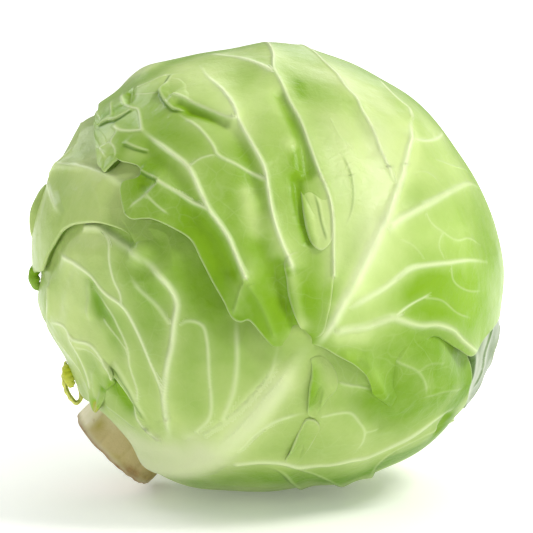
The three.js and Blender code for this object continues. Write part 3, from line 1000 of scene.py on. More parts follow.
class Nodes:
    """A material's node tree."""

    def __init__(self, name: str) -> None:
        """Starts a material with an empty tree.

        Args:
            name: the material's name.
        """
        self.material = bpy.data.materials.new(name)
        self.material.use_nodes = True
        self.tree = self.material.node_tree
        self.tree.nodes.clear()

    def add(self, kind: str, settings: dict[str, Any] | None = None,
            values: dict[Any, Any] | None = None, output: Any = 0) -> Socket:
        """Adds a node.

        Args:
            kind: the node's type.
            settings: its own properties, set first.
            values: numbers, colours or sockets for its inputs, by name or number.
            output: which output to return.

        Returns:
            That output.
        """
        node = self.tree.nodes.new(kind)
        for key, value in (settings or {}).items():
            setattr(node, key, value)
        for key, value in (values or {}).items():
            if isinstance(value, Socket):
                self.tree.links.new(value.link, node.inputs[key])
            else:
                node.inputs[key].default_value = value
        return Socket(self, node.outputs[output] if node.outputs else None)

    def attribute(self, name: str) -> tuple[Socket, ...]:
        """Returns the four values of a mesh attribute."""
        whole, last = (self.add("ShaderNodeAttribute", {"attribute_name": name}, {}, output)
                       for output in ("Color", "Alpha"))
        return *(self.add("ShaderNodeSeparateColor", {}, {0: whole}, k) for k in range(3)), last

    def mix(self, factor: Any, first: Any, second: Any) -> Socket:
        """Mixes two colours."""
        settings = {"data_type": "RGBA", "clamp_factor": True}
        return self.add("ShaderNodeMix", settings, {0: factor, 6: first, 7: second}, 2)

    def noise(self, place: Socket, size: float, detail: float = 3.0, rough: float = 0.5) -> Socket:
        """Returns noise from 0 to 1 whose features have a size in millimetres."""
        values = {"Vector": place, "Scale": 1 / (size * MM), "Detail": detail, "Roughness": rough}
        return self.add("ShaderNodeTexNoise", {}, values)

    def bump(self, height: Socket, depth: float) -> Socket:
        """Returns the normals of a relief whose depth is in metres."""
        values = {"Strength": 0.5, "Distance": depth, "Height": height}
        return self.add("ShaderNodeBump", {}, values, "Normal")

    def finish(self, **values: Any) -> bpy.types.Material:
        """Adds the shader with its values and the output, and returns the material."""
        names = {key.replace("_", " "): value for key, value in values.items()}
        shader = self.add("ShaderNodeBsdfPrincipled", {}, names)
        self.add("ShaderNodeOutputMaterial", {}, {"Surface": shader})
        return self.material


def colour(code: str) -> tuple[float, float, float, float]:
    """Turns an sRGB colour into linear light.

    Args:
        code: its six hex digits.

    Returns:
        Red, green, blue and alpha.
    """
    parts = [int(code[i:i + 2], 16) / 255 for i in (0, 2, 4)]
    red, green, blue = (((c + 0.055) / 1.055) ** 2.4 if c > 0.04045 else c / 12.92 for c in parts)
    return red, green, blue, 1.0


@dataclass(frozen=True)
class LeafFinish:
    """The waxy skin of a cabbage leaf, whose greens follow its masks.

    Args:
        name: the material's name.
        cool_pale: the pale green away from the light.
        cool_rich: the rich green away from the light.
        sunny_pale: the pale green of the sunny side.
        sunny_rich: the rich green of the sunny side.
        vein: the colour of a vein.
        white: the colour of a midrib's base and of torn edges, which some patches also paint as a sheen.
        crease_shade: the dark green painted into the crease of a fold as its shade.
        olive: the colour of yellowed tips.
        net: how strongly the fine net of veins shows.
        roughness: of the skin between its specks.
    """

    name: str = "leaf_skin"
    cool_pale: str = "bdd080"
    cool_rich: str = "699411"
    sunny_pale: str = "d8efa0"
    sunny_rich: str = "94bd22"
    vein: str = "dde9b6"
    white: str = "cdd6a8"
    crease_shade: str = "4a7210"
    olive: str = "b3ad35"
    net: float = 0.1
    roughness: float = 0.34

    # millimetres across its blotches, specks, grain and puckers, and across the places where its net shows
    BLOTCH = 26
    SPECK = 7
    GRAIN = 1.1
    PUCKER = 13
    NET_PLACES = 30
    # cells to a metre and line width of its coarse and its fine net, and how finely and far both are bent
    COARSE_NET = (105.0, 0.045)
    FINE_NET = (260.0, 0.05)
    BEND = (90.0, 0.006)
    # the suns between which a tip turns olive
    OLIVE_SUN = (0.92, 1.0)
    # metres that the bump stands out, and that light runs under the skin: red, green and blue
    BUMP = 0.0009
    GLOW = (0.0012, 0.002, 0.0006)

    def material(self) -> bpy.types.Material:
        """Makes the material."""
        nodes = Nodes(self.name)
        vein, tone, sun, white = nodes.attribute(MASKS)
        away, pale_line, high, fold = nodes.attribute(CRESTS)
        away = (away - CREST_START[0]) * (1 / CREST_SCALE[0])
        crest = away.bell() * (1 - fold)
        lip = ((away - 0.8) * 1.6).bell() * fold
        # the band right of a fold's drop, where its shade is painted
        crease_shade = ((away + 0.5) * 1.5).bell() * fold * pale_line
        place = nodes.add("ShaderNodeTexCoord", {}, {}, "Object")
        blotch = nodes.noise(place, self.BLOTCH, 4)
        mottle = nodes.noise(place, self.SPECK, 4, 0.6)
        grain = nodes.noise(place, self.GRAIN, 3, 0.6)
        pucker = nodes.noise(place, self.PUCKER, 2)
        bends = {"Vector": place, "Scale": self.BEND[0], "Detail": 2.0}
        bent = nodes.add("ShaderNodeTexNoise", {}, bends, "Color")
        scaled = nodes.add("ShaderNodeVectorMath", {"operation": "SCALE"}, {0: bent, "Scale": self.BEND[1]})
        moved = nodes.add("ShaderNodeVectorMath", {"operation": "ADD"}, {0: place, 1: scaled})
        web = self.net_of(nodes, moved, *self.COARSE_NET)
        fine = self.net_of(nodes, moved, *self.FINE_NET)
        shown = nodes.noise(place, self.NET_PLACES, 2).rise(0.42, 0.62)
        net = web.most(fine * 0.45) * shown * self.net
        uneven_tone = tone + (blotch - 0.5) * 0.7 + (mottle - 0.5) * 0.35
        uneven_sun = sun + (mottle - 0.5) * 0.2
        pale = nodes.mix(uneven_sun, colour(self.cool_pale), colour(self.sunny_pale))
        rich = nodes.mix(uneven_sun, colour(self.cool_rich), colour(self.sunny_rich))
        skin = nodes.mix(uneven_tone, pale, rich)
        skin = nodes.mix(net * 0.6, skin, colour(self.vein))
        skin = nodes.mix(vein, skin, colour(self.vein))
        skin = nodes.mix((crest + lip * 0.4) * pale_line, skin, colour(self.vein))
        # painted shade: darkens the crease of each fold
        skin = nodes.mix(crease_shade * 0.8, skin, colour(self.crease_shade))
        skin = nodes.mix(sun.rise(*self.OLIVE_SUN), skin, colour(self.olive))
        skin = nodes.mix(white, skin, colour(self.white))
        relief = grain * 0.2 + mottle * 0.9 + pucker * 1.8 + net * 0.5 + crest * (high - 0.5) * 5.0
        bump = nodes.bump(relief, self.BUMP)
        return nodes.finish(
            Base_Color=skin, Roughness=self.roughness + (mottle - 0.5) * 0.18, Normal=bump,
            Specular_IOR_Level=0.17, Subsurface_Weight=0.08,
            Subsurface_Radius=self.GLOW, Subsurface_Scale=1.0)

    @staticmethod
    def net_of(nodes: Nodes, place: Socket, scale: float, width: float) -> Socket:
        """Draws an irregular net.

        Args:
            nodes: the material's nodes.
            place: where on the piece.
            scale: its cells to a metre.
            width: of its lines, in cells.

        Returns:
            1 on its lines, fading beside them.
        """
        cells = nodes.add("ShaderNodeTexVoronoi", {"feature": "DISTANCE_TO_EDGE"},
                          {"Vector": place, "Scale": scale}, "Distance")
        return 1 - cells.rise(0.0, width)


FRONT_WAVES = Waves(seed=7, height=0.3, lengths=(16, 70))
# edges of the lower half, the upper half, the shoulder and the far leaf
LOWER_EDGE = (
    (116, 440), (96, 400, -1), (66, 345, -1), (52, 300, -1), (48, 262, -1), (50, 225), (58, 196), (84, 180),
    (120, 182), (150, 196), (180, 212), (215, 240), (242, 272), (264, 300), (290, 312), (320, 312),
    (355, 312), (385, 312), (415, 314), (445, 322), (470, 340), (475, 364), (473.5, 374), (470, 387),
    (462, 410), (451, 421), (441, 434), (424, 450), (403, 462), (378, 459, -1), (352, 452, -1),
    (326, 462, -1), (298, 457, -1), (268, 464, -1), (236, 457, -1), (208, 461, -1), (184, 449, -1),
    (160, 452, -1), (138, 446, -1),
)
UPPER_EDGE = (
    (131, 219), (140, 218.5), (151, 219), (172, 228), (190, 240), (200, 259), (211, 280), (224, 302),
    (232, 318), (240, 322), (248, 320), (260, 333), (273, 347), (280, 347), (296, 349), (311, 345),
    (323, 348), (336, 355), (347, 360), (357, 367), (365, 375), (370, 385), (374, 396), (381, 401),
    (390, 408), (396, 413), (403, 400), (412, 372), (424, 348), (434, 337), (456, 348), (473, 356),
    (484, 340), (495, 325), (492, 290, -1), (484, 262, -1), (489, 234, -1), (476, 205, -1), (470, 178, -1),
    (450, 158, -1), (440, 130, -1), (412, 120, -1), (392, 96, -1), (362, 99, -1), (338, 82, -1),
    (300, 88, -1), (268, 73, -1), (236, 84, -1), (205, 77, -1), (178, 92, -1), (150, 96, -1),
    (126, 106, -1), (98, 112), (94, 122), (94, 133), (97, 142), (104, 149), (114, 157), (120, 160.5),
    (127, 162), (135, 164.5), (139.5, 168.5), (140, 172.5), (137.5, 176), (133, 178.7), (127, 179.9),
    (121, 182), (119, 187), (119.5, 196), (122, 207), (125, 215),
)
SHOULDER_EDGE = (
    (42, 270), (44, 264), (47, 254), (53, 243), (61, 231), (71, 225), (85, 223), (99, 223), (111, 226),
    (122, 231), (130, 239), (138, 249), (148, 249), (157, 236), (163, 218), (164, 190), (152, 155),
    (132, 126), (110, 112), (92, 108, -1), (72, 128, -1), (56, 160, -1), (48, 190, -1), (42, 215, -1),
    (38, 240, -1), (37, 268, -1), (36, 272),
)
FAR_EDGE = (
    (462, 344), (474, 336), (486, 326), (497, 316), (500, 318, -1), (492, 345, -1), (480, 372, -1),
    (468, 394, -1), (456, 409, -1), (452, 416), (450, 400), (454, 372),
)

# greens that the two halves share where they are one
JOINED_PATCHES = (
    Patch(((401, 404), (408, 380), (420, 358), (438, 350), (455, 356)), 8, settle=(0.95, 0.15)),
    Patch(((366, 358), (382, 356), (402, 350)), 3.8, settle=(0.85, 0.2)),
)
LOWER_LINES = (
    # midrib with its white base, and the groove along its upper side
    Line(((140, 456), (175, 464), (205, 459), (224, 446), (242, 428), (262, 407), (288, 374), (304, 351)),
         (8.0, 1.9), (3.4, 1.1), 0.5),
    Line(((188, 438), (221, 421), (238, 406), (260, 384), (284, 356)), (2.0, 1.2), (-0.7, -0.3), 0.2),
    Line(((292, 353), (276, 372), (256, 393), (234, 413), (208, 432)), (1.1, 1.3), (-0.45, -0.4), 0.0),
    Line(((205, 449), (232, 430), (254, 407), (276, 382), (296, 357)), (0.6, 0.5), (0.3, 0.25), 0.5,
         fade=(0.3, 0.2)),
    # veins of the pale left lobe
    Line(((169, 437), (168, 415), (167, 390), (170, 360), (173, 345), (175, 323), (177, 303), (172, 290),
         (162, 277), (148, 263), (137, 254)), (1.2, 1.0), (1.0, 1.0), 0.8, fade=(0.15, 0.2)),
    Line(((170, 322), (155, 303), (140, 288), (133, 278)), (0.9, 0.8), (0.3, 0.2), 0.35),
    Line(((197, 430), (210, 416), (212, 400), (210, 375), (207, 340), (202, 325), (186, 321), (174, 332)),
         (0.8, 0.6), (0.3, 0.25), 0.42),
    Line(((224, 417), (234, 388), (237, 354), (234, 321)), (1.1, 0.8), (0.35, 0.25), 0.38),
    Line(((206, 432), (232, 415), (257, 391), (272, 370), (277, 350)), (1.1, 0.8), (0.3, 0.3), 0.35),
    Line(((167, 394), (161, 380), (150, 358), (143, 341), (134, 322), (124, 305), (107, 293), (92, 275),
         (73, 262), (51, 251)), (0.6, 0.8), (0.5, 0.5), 0.8),
    Line(((124, 304), (122, 293), (116, 280), (113, 266), (110, 245), (106, 237), (95, 227)), (0.5, 0.5),
         (0.35, 0.3), 0.6),
    Line(((159, 437), (148, 429), (137, 416), (129, 400), (116, 379), (106, 361), (94, 345), (76, 337),
         (68, 326), (51, 322)), (0.8, 0.6), (0.7, 0.5), 0.75),
    Line(((92, 384), (86, 366), (76, 343), (70, 330)), (0.7, 0.6), (0.5, 0.4), 0.8),
    Line(((90, 388), (82, 372), (66, 350), (51, 330)), (0.7, 0.7), (0.5, 0.4), 0.8),
    Line(((138, 406), (139, 389), (132, 368), (129, 347), (120, 330), (111, 312), (94, 288)), (0.6, 0.6),
         (0.35, 0.3), 0.5),
    Line(((82, 226), (95, 227), (108, 235), (122, 245), (137, 255), (150, 266)), (1.4, 1.2), (1.0, 0.8),
         0.45),
    Line(((89, 322), (88.5, 300), (90, 274)), (0.9, 0.9), (0.5, 0.4), 0.2, fade=(0.25, 0.3)),
    Line(((104, 320), (116, 336), (128, 350), (133, 372)), (0.5, 0.5), (0.3, 0.25), 0.35),
    Line(((77, 345), (95, 352), (112, 372)), (0.45, 0.45), (0.2, 0.2), 0.3),
    Line(((111, 360), (122, 377), (134, 397), (142, 413), (150, 427)), (2.0, 1.3), (0.9, 0.4), 0.8,
         Stroke.FOLD, (0.1, 0.35)),
    Line(((51, 288), (52, 305), (50, 322)), (1.1, 0.9), (1.0, 0.7), 0.35),
    Line(((46, 292), (46, 310), (47, 328)), (0.9, 0.8), (-0.9, -0.6), 0.0),
    Line(((75, 262), (64, 285), (60, 320)), (2.5, 2.0), (-0.5, -0.3), 0.0),
    # veins of the right part
    Line(((238, 461), (259, 460), (281, 461), (298, 464), (323, 463), (348, 459), (370, 455), (400, 441),
         (425, 426), (440, 416), (452, 410)), (1.3, 0.9), (0.8, 0.5), 0.8),
    Line(((240, 446), (257, 430), (277, 419), (302, 414)), (1.1, 0.7), (0.4, 0.3), 0.5),
    Line(((323, 416), (338, 413), (350, 413), (358, 421), (364, 431), (361, 444), (355, 452)), (0.6, 0.5),
         (0.3, 0.25), 0.35),
    Line(((342, 384), (353, 388), (373, 393)), (0.6, 0.5), (0.25, 0.2), 0.3),
    Line(((364, 431), (371, 431), (379, 430)), (0.5, 0.4), (0.2, 0.15), 0.25),
    Line(((382, 354), (400, 363), (417, 371), (424, 382), (426, 396)), (0.6, 0.5), (0.3, 0.25), 0.18),
    Line(((426, 396), (443, 391), (462, 389)), (0.5, 0.5), (0.2, 0.15), 0.12),
    Line(((417, 371), (429, 364), (445, 363)), (0.5, 0.5), (0.2, 0.15), 0.1),
    Line(((104, 404), (120, 416), (137, 429)), (0.7, 0.6), (0.8, 0.5), 0.7, Stroke.FOLD, (0.1, 0.2)),
    # fold beside the tear, leaf edges at the bottom
    Line(((268, 466), (281, 471), (291, 481), (306, 486)), (1.0, 0.9), (1.2, 1.0), 0.6, Stroke.FOLD, (0.2,
         0.1)),
    Line(((285, 463), (300, 467), (323, 476), (348, 486)), (1.0, 0.9), (1.4, 1.1), 0.6, Stroke.FOLD, (0.2,
         0.1)),
    Line(((366, 475), (378, 462), (400, 446), (420, 436), (442, 425)), (1.0, 0.9), (1.3, 1.1), 0.6,
         Stroke.FOLD, (0.1, 0.1)),
    Line(((214, 474), (238, 456), (262, 431), (284, 402), (301, 368)), (1.6, 1.1), (-0.6, -0.3), 0.0),
    Line(((446, 416), (440, 423), (437, 431)), (1.2, 1.0), (-1.2, -1.0), 0.0),
)
LOWER_PATCHES = (
    Patch(((145, 455), (175, 462), (205, 452)), 9, white=0.95),
    Patch(((222, 446), (262, 407), (280, 384)), 4.5, tone=-0.3, sun=0.1, white=0.4),
    Patch(((165, 300), (200, 290), (225, 330)), 17, tone=0.3),
    Patch(((150, 240), (190, 270), (210, 300)), 12, tone=0.35, sun=0.1),
    Patch(((93, 285), (94, 300), (97, 312)), 3.2, rise=-0.9, tone=0.4),
    Patch(((97, 282), (101, 300), (106, 315)), 5, tone=0.25),
    Patch(((100, 303), (110, 320), (118, 334)), 4.0, rise=-0.8, tone=0.35),
    # painted shade: the sunk pocket under the shoulder's arch is given a darker green
    Patch(((104, 229), (118, 238), (128, 246)), 2.6, rise=-1.3, tone=0.5),
    Patch(((70, 300), (74, 330)), 6, rise=0.6, tone=-0.15),
    Patch(((120, 262), (150, 285)), 7, rise=0.5, tone=0.1),
    Patch(((128, 322), (150, 350)), 6, tone=0.15),
    Patch(((112, 340), (120, 350)), 3.5, rise=-0.4, tone=0.2),
    # painted shade: the sunk gap by the stem is taken to the darkest green
    Patch(((113, 386), (120, 395), (127, 405)), 3.8, rise=-3.0, settle=(1.0, 0.4)),
    Patch(((145, 300), (150, 325)), 6, tone=0.15),
    Patch(((70, 285), (60, 300)), 12, tone=-0.1),
    Patch(((150, 385), (130, 350)), 8, tone=0.2),
    Patch(((185, 370), (195, 400), (225, 360)), 9, tone=0.12),
    Patch(((180, 290),), 8, rise=-0.8),
    Patch(((190, 360), (190, 400)), 7, rise=0.8, tone=0.05),
    Patch(((150, 400),), 7, rise=0.7),
    Patch(((215, 370), (222, 395)), 5, rise=0.5),
    Patch(((70, 250), (85, 240)), 9, rise=0.6, tone=-0.15),
    Patch(((95, 255), (100, 275)), 6, rise=0.7, tone=-0.12),
    Patch(((280, 445), (300, 400)), 12, tone=0.02),
    Patch(((395, 405), (430, 395), (450, 365)), 14, tone=0.42, sun=0.15),
    Patch(((45, 300), (52, 280)), 6, tone=0.2),
    Patch(((405, 350), (440, 350)), 11, tone=0.55, sun=0.25),
    Patch(((452, 350), (450, 385), (436, 405)), 8, tone=0.35, sun=0.1),
    # painted shade: a dark green along the lower right edge, where the head turns under
    Patch(((388, 461), (412, 451), (430, 440), (444, 425)), 6, settle=(1.0, 0.0)),
    # painted shade: the sunk notch at the lower right is taken to the darkest green
    Patch(((447, 418), (442, 424), (438, 430)), 2.4, rise=-1.5, settle=(1.0, 0.3)),
    # painted shade: a richer, darker green along the bottom edge
    Patch(((330, 480), (352, 478), (372, 468)), 4.5, tone=0.35),
    Patch(((258, 378), (276, 358)), 4, tone=0.15),
    Patch(((345, 370), (375, 400)), 8, tone=0.2, sun=0.1),
    Patch(((340, 425), (340, 390)), 14, tone=0.05, sun=0.05),
    # painted shade: a richer, darker green along the bottom, where the head turns under
    Patch(((200, 480), (260, 478), (330, 478)), 10, tone=0.5),
    Patch(((134, 440), (150, 448), (178, 452)), 8, white=0.9),
    Patch(((66, 366), (73, 378), (80, 391)), 10, rise=-2.6),
    # painted shade: the edge beside the slit is taken to a dark green
    Patch(((468, 355), (466, 385), (452, 408)), 5, settle=(0.95, 0.1)),
    *JOINED_PATCHES,
)
UPPER_LINES = (
    # midrib and its forks at the top
    Line(((318, 345), (329, 326), (343, 300), (361, 266)), (1.2, 2.1), (0.9, 1.3), 0.8, fade=(0.25, 0.45)),
    Line(((343, 300), (361, 266), (380, 226), (396, 190), (405, 160), (409, 139), (410, 118)), (2.1, 0.8),
         (1.4, 0.8), 0.9, fade=(0.13, 0.2)),
    Line(((410, 118), (407, 110), (398, 103), (386, 91), (376, 79)), (0.9, 0.6), (0.5, 0.3), 0.8),
    # veins that leave it to the left
    Line(((395, 188), (390, 175), (381, 153), (371, 128), (360, 110), (355, 100), (346, 91), (336, 76),
         (324, 64), (311, 52), (295, 46)), (0.7, 0.6), (0.7, 0.5), 0.8, fade=(0.08, 0.1)),
    Line(((332, 275), (332, 250), (331, 213), (327, 194), (318, 172), (310, 150), (300, 123), (290, 105),
         (280, 84), (274, 74), (273, 56), (268, 46), (258, 41)), (0.7, 0.7), (1.1, 0.6), 0.7),
    Line(((271, 75), (257, 66), (239, 60), (220, 57), (206, 54)), (0.9, 0.7), (0.6, 0.4), 0.85),
    # veins that leave it to the right
    Line(((382, 232), (392, 223), (408, 214), (434, 200), (451, 191), (469, 184), (480, 190)), (1.5, 0.5),
         (0.9, 0.4), 0.7, fade=(0.05, 0.4)),
    Line(((420, 207), (428, 222), (440, 232), (455, 240), (468, 238), (482, 245)), (0.5, 0.4), (0.25, 0.2),
         0.25),
    Line(((440, 232), (437, 246), (443, 262)), (0.45, 0.4), (0.2, 0.2), 0.2),
    Line(((400, 240), (412, 246), (425, 263)), (0.45, 0.4), (0.2, 0.2), 0.15),
    Line(((435, 160), (450, 166), (468, 172)), (0.45, 0.4), (0.2, 0.2), 0.15),
    Line(((405, 175), (425, 172), (440, 183)), (0.45, 0.4), (0.2, 0.2), 0.12),
    Line(((448, 263), (452, 280), (466, 290), (480, 291)), (0.5, 0.4), (0.2, 0.2), 0.22),
    Line(((420, 297), (440, 300), (455, 312), (470, 318)), (0.5, 0.4), (0.2, 0.2), 0.2),
    Line(((330, 120), (342, 140), (360, 150)), (0.45, 0.4), (0.2, 0.2), 0.1),
    Line(((345, 309), (362, 299), (382, 288), (408, 269), (425, 265), (443, 263), (469, 260), (488, 262)),
         (1.2, 0.5), (0.6, 0.35), 0.7, fade=(0.1, 0.3)),
    Line(((328, 331), (349, 328), (364, 326), (378, 321), (391, 317), (401, 320), (419, 325), (434, 324),
         (450, 329), (460, 339), (471, 348), (480, 354)), (1.4, 0.8), (1.3, 0.7), 0.6, fade=(0.05, 0.15)),
    Line(((394, 314), (411, 303), (429, 293)), (0.5, 0.4), (0.3, 0.25), 0.6),
    Line(((409, 140), (425, 142), (436, 140), (442, 133)), (0.6, 0.5), (0.3, 0.2), 0.6),
    Line(((340, 150), (348, 166), (352, 180), (353, 197), (350, 214), (343, 230)), (0.6, 0.5), (0.35, 0.25),
         0.45, Stroke.FOLD, (0.25, 0.3)),
    Line(((313, 190), (318, 206), (321, 222), (327, 243)), (0.7, 0.6), (0.5, 0.4), 0.4, Stroke.FOLD, (0.3,
         0.2)),
    # veins of the left part
    Line(((246, 276), (240, 264), (230, 240), (220, 224), (211, 212), (200, 190), (195, 178), (189, 168),
         (172, 154), (156, 142), (143.5, 132)), (0.9, 0.8), (1.0, 0.7), 0.85),
    Line(((246, 276), (239, 296), (233, 317)), (0.7, 0.6), (0.8, 0.5), 0.08),
    Line(((249, 284), (262, 305), (277, 345)), (1.2, 0.9), (0.8, 0.6), 0.05),
    Line(((143.5, 132), (141, 118), (139, 110.5), (132, 109), (125, 105), (122, 93)), (0.6, 0.5), (0.4,
         0.3), 0.55),
    Line(((143, 132), (129, 132), (119.8, 131), (116, 128), (113, 123.5)), (0.55, 0.8), (0.4, 0.4), 0.65),
    Line(((119, 132), (113.7, 139), (111.4, 142.6), (115, 148), (116, 153), (113.7, 158.5)), (0.45, 0.45),
         (0.3, 0.3), 0.6),
    Line(((110, 143), (105, 146), (100, 148), (103, 153), (107, 158)), (0.4, 0.4), (0.2, 0.2), 0.4),
    Line(((135, 90), (147, 86), (164, 77.6), (172, 74.5)), (0.7, 0.7), (0.5, 0.5), 0.45),
    Line(((137, 96), (147, 95.5), (159, 93.7)), (0.45, 0.45), (0.25, 0.25), 0.5),
    Line(((112, 103), (112.5, 110), (113.5, 119)), (0.5, 0.5), (0.3, 0.3), 0.4),
    Line(((94.5, 109), (98.5, 115), (102, 122.5)), (0.5, 0.5), (0.3, 0.3), 0.45),
    Line(((94, 111), (92, 122), (93.5, 131)), (0.6, 0.5), (0.4, 0.3), 0.4),
    Line(((211, 212), (203, 207), (192, 202), (180, 194), (163, 184), (146, 172)), (0.7, 0.6), (0.5, 0.35),
         0.65),
    Line(((293, 272), (291, 265), (279, 236), (272, 212), (268, 190), (264, 169), (251, 144), (240, 124),
         (234, 108), (221, 90), (208, 78), (200, 66)), (0.9, 0.6), (1.2, 0.5), 0.95, fade=(0.03, 0.3)),
    Line(((240, 124), (226, 118), (206, 109), (187, 101), (170, 96)), (0.6, 0.6), (1.0, 0.9), 0.55,
         fade=(0.1, 0.1)),
    Line(((264, 180), (258, 176), (241, 167), (218, 156), (215, 149), (202, 132), (180, 115)), (0.7, 0.5),
         (0.45, 0.3), 0.6),
    Line(((190, 171), (200, 161), (218, 156)), (0.5, 0.4), (0.3, 0.2), 0.5),
    Line(((148, 196), (158, 206), (168, 214)), (0.5, 0.4), (0.25, 0.2), 0.4),
    # folds
    Line(((173, 74), (170, 78), (165.7, 85), (160.5, 92.5), (165, 103), (169.5, 108), (173.3, 111),
         (178, 111.3), (185, 110)), (0.8, 0.8), (0.6, 0.6), 0.9, Stroke.FOLD, (0.05, 0.1)),
    Line(((98, 126.5), (103, 124), (109, 121.5), (114, 121.5), (123, 117), (129, 113.3), (134.5, 111)),
         (1.0, 0.8), (0.5, 0.4), 1.0, Stroke.FOLD, (0.1, 0.1)),
    Line(((122, 143), (133.6, 148), (141, 150), (149, 151.3)), (0.9, 0.7), (0.5, 0.4), 0.9, Stroke.FOLD,
         (0.2, 0.15)),
    Line(((139, 171), (150, 177), (161, 182.7)), (0.7, 0.7), (0.8, 0.6), 0.9, Stroke.FOLD, (0.1, 0.1)),
    Line(((159.6, 183), (154, 188), (146.6, 196.3), (138, 202), (129, 208)), (0.6, 0.5), (0.4, 0.3), 0.45),
    Line(((160, 182), (172, 189), (185, 195.5), (196, 203)), (0.45, 0.45), (0.3, 0.3), 0.6),
    Line(((130, 222), (121, 219), (127, 210)), (0.6, 0.5), (0.5, 0.3), 0.8, Stroke.FOLD, (0.1, 0.2)),
)
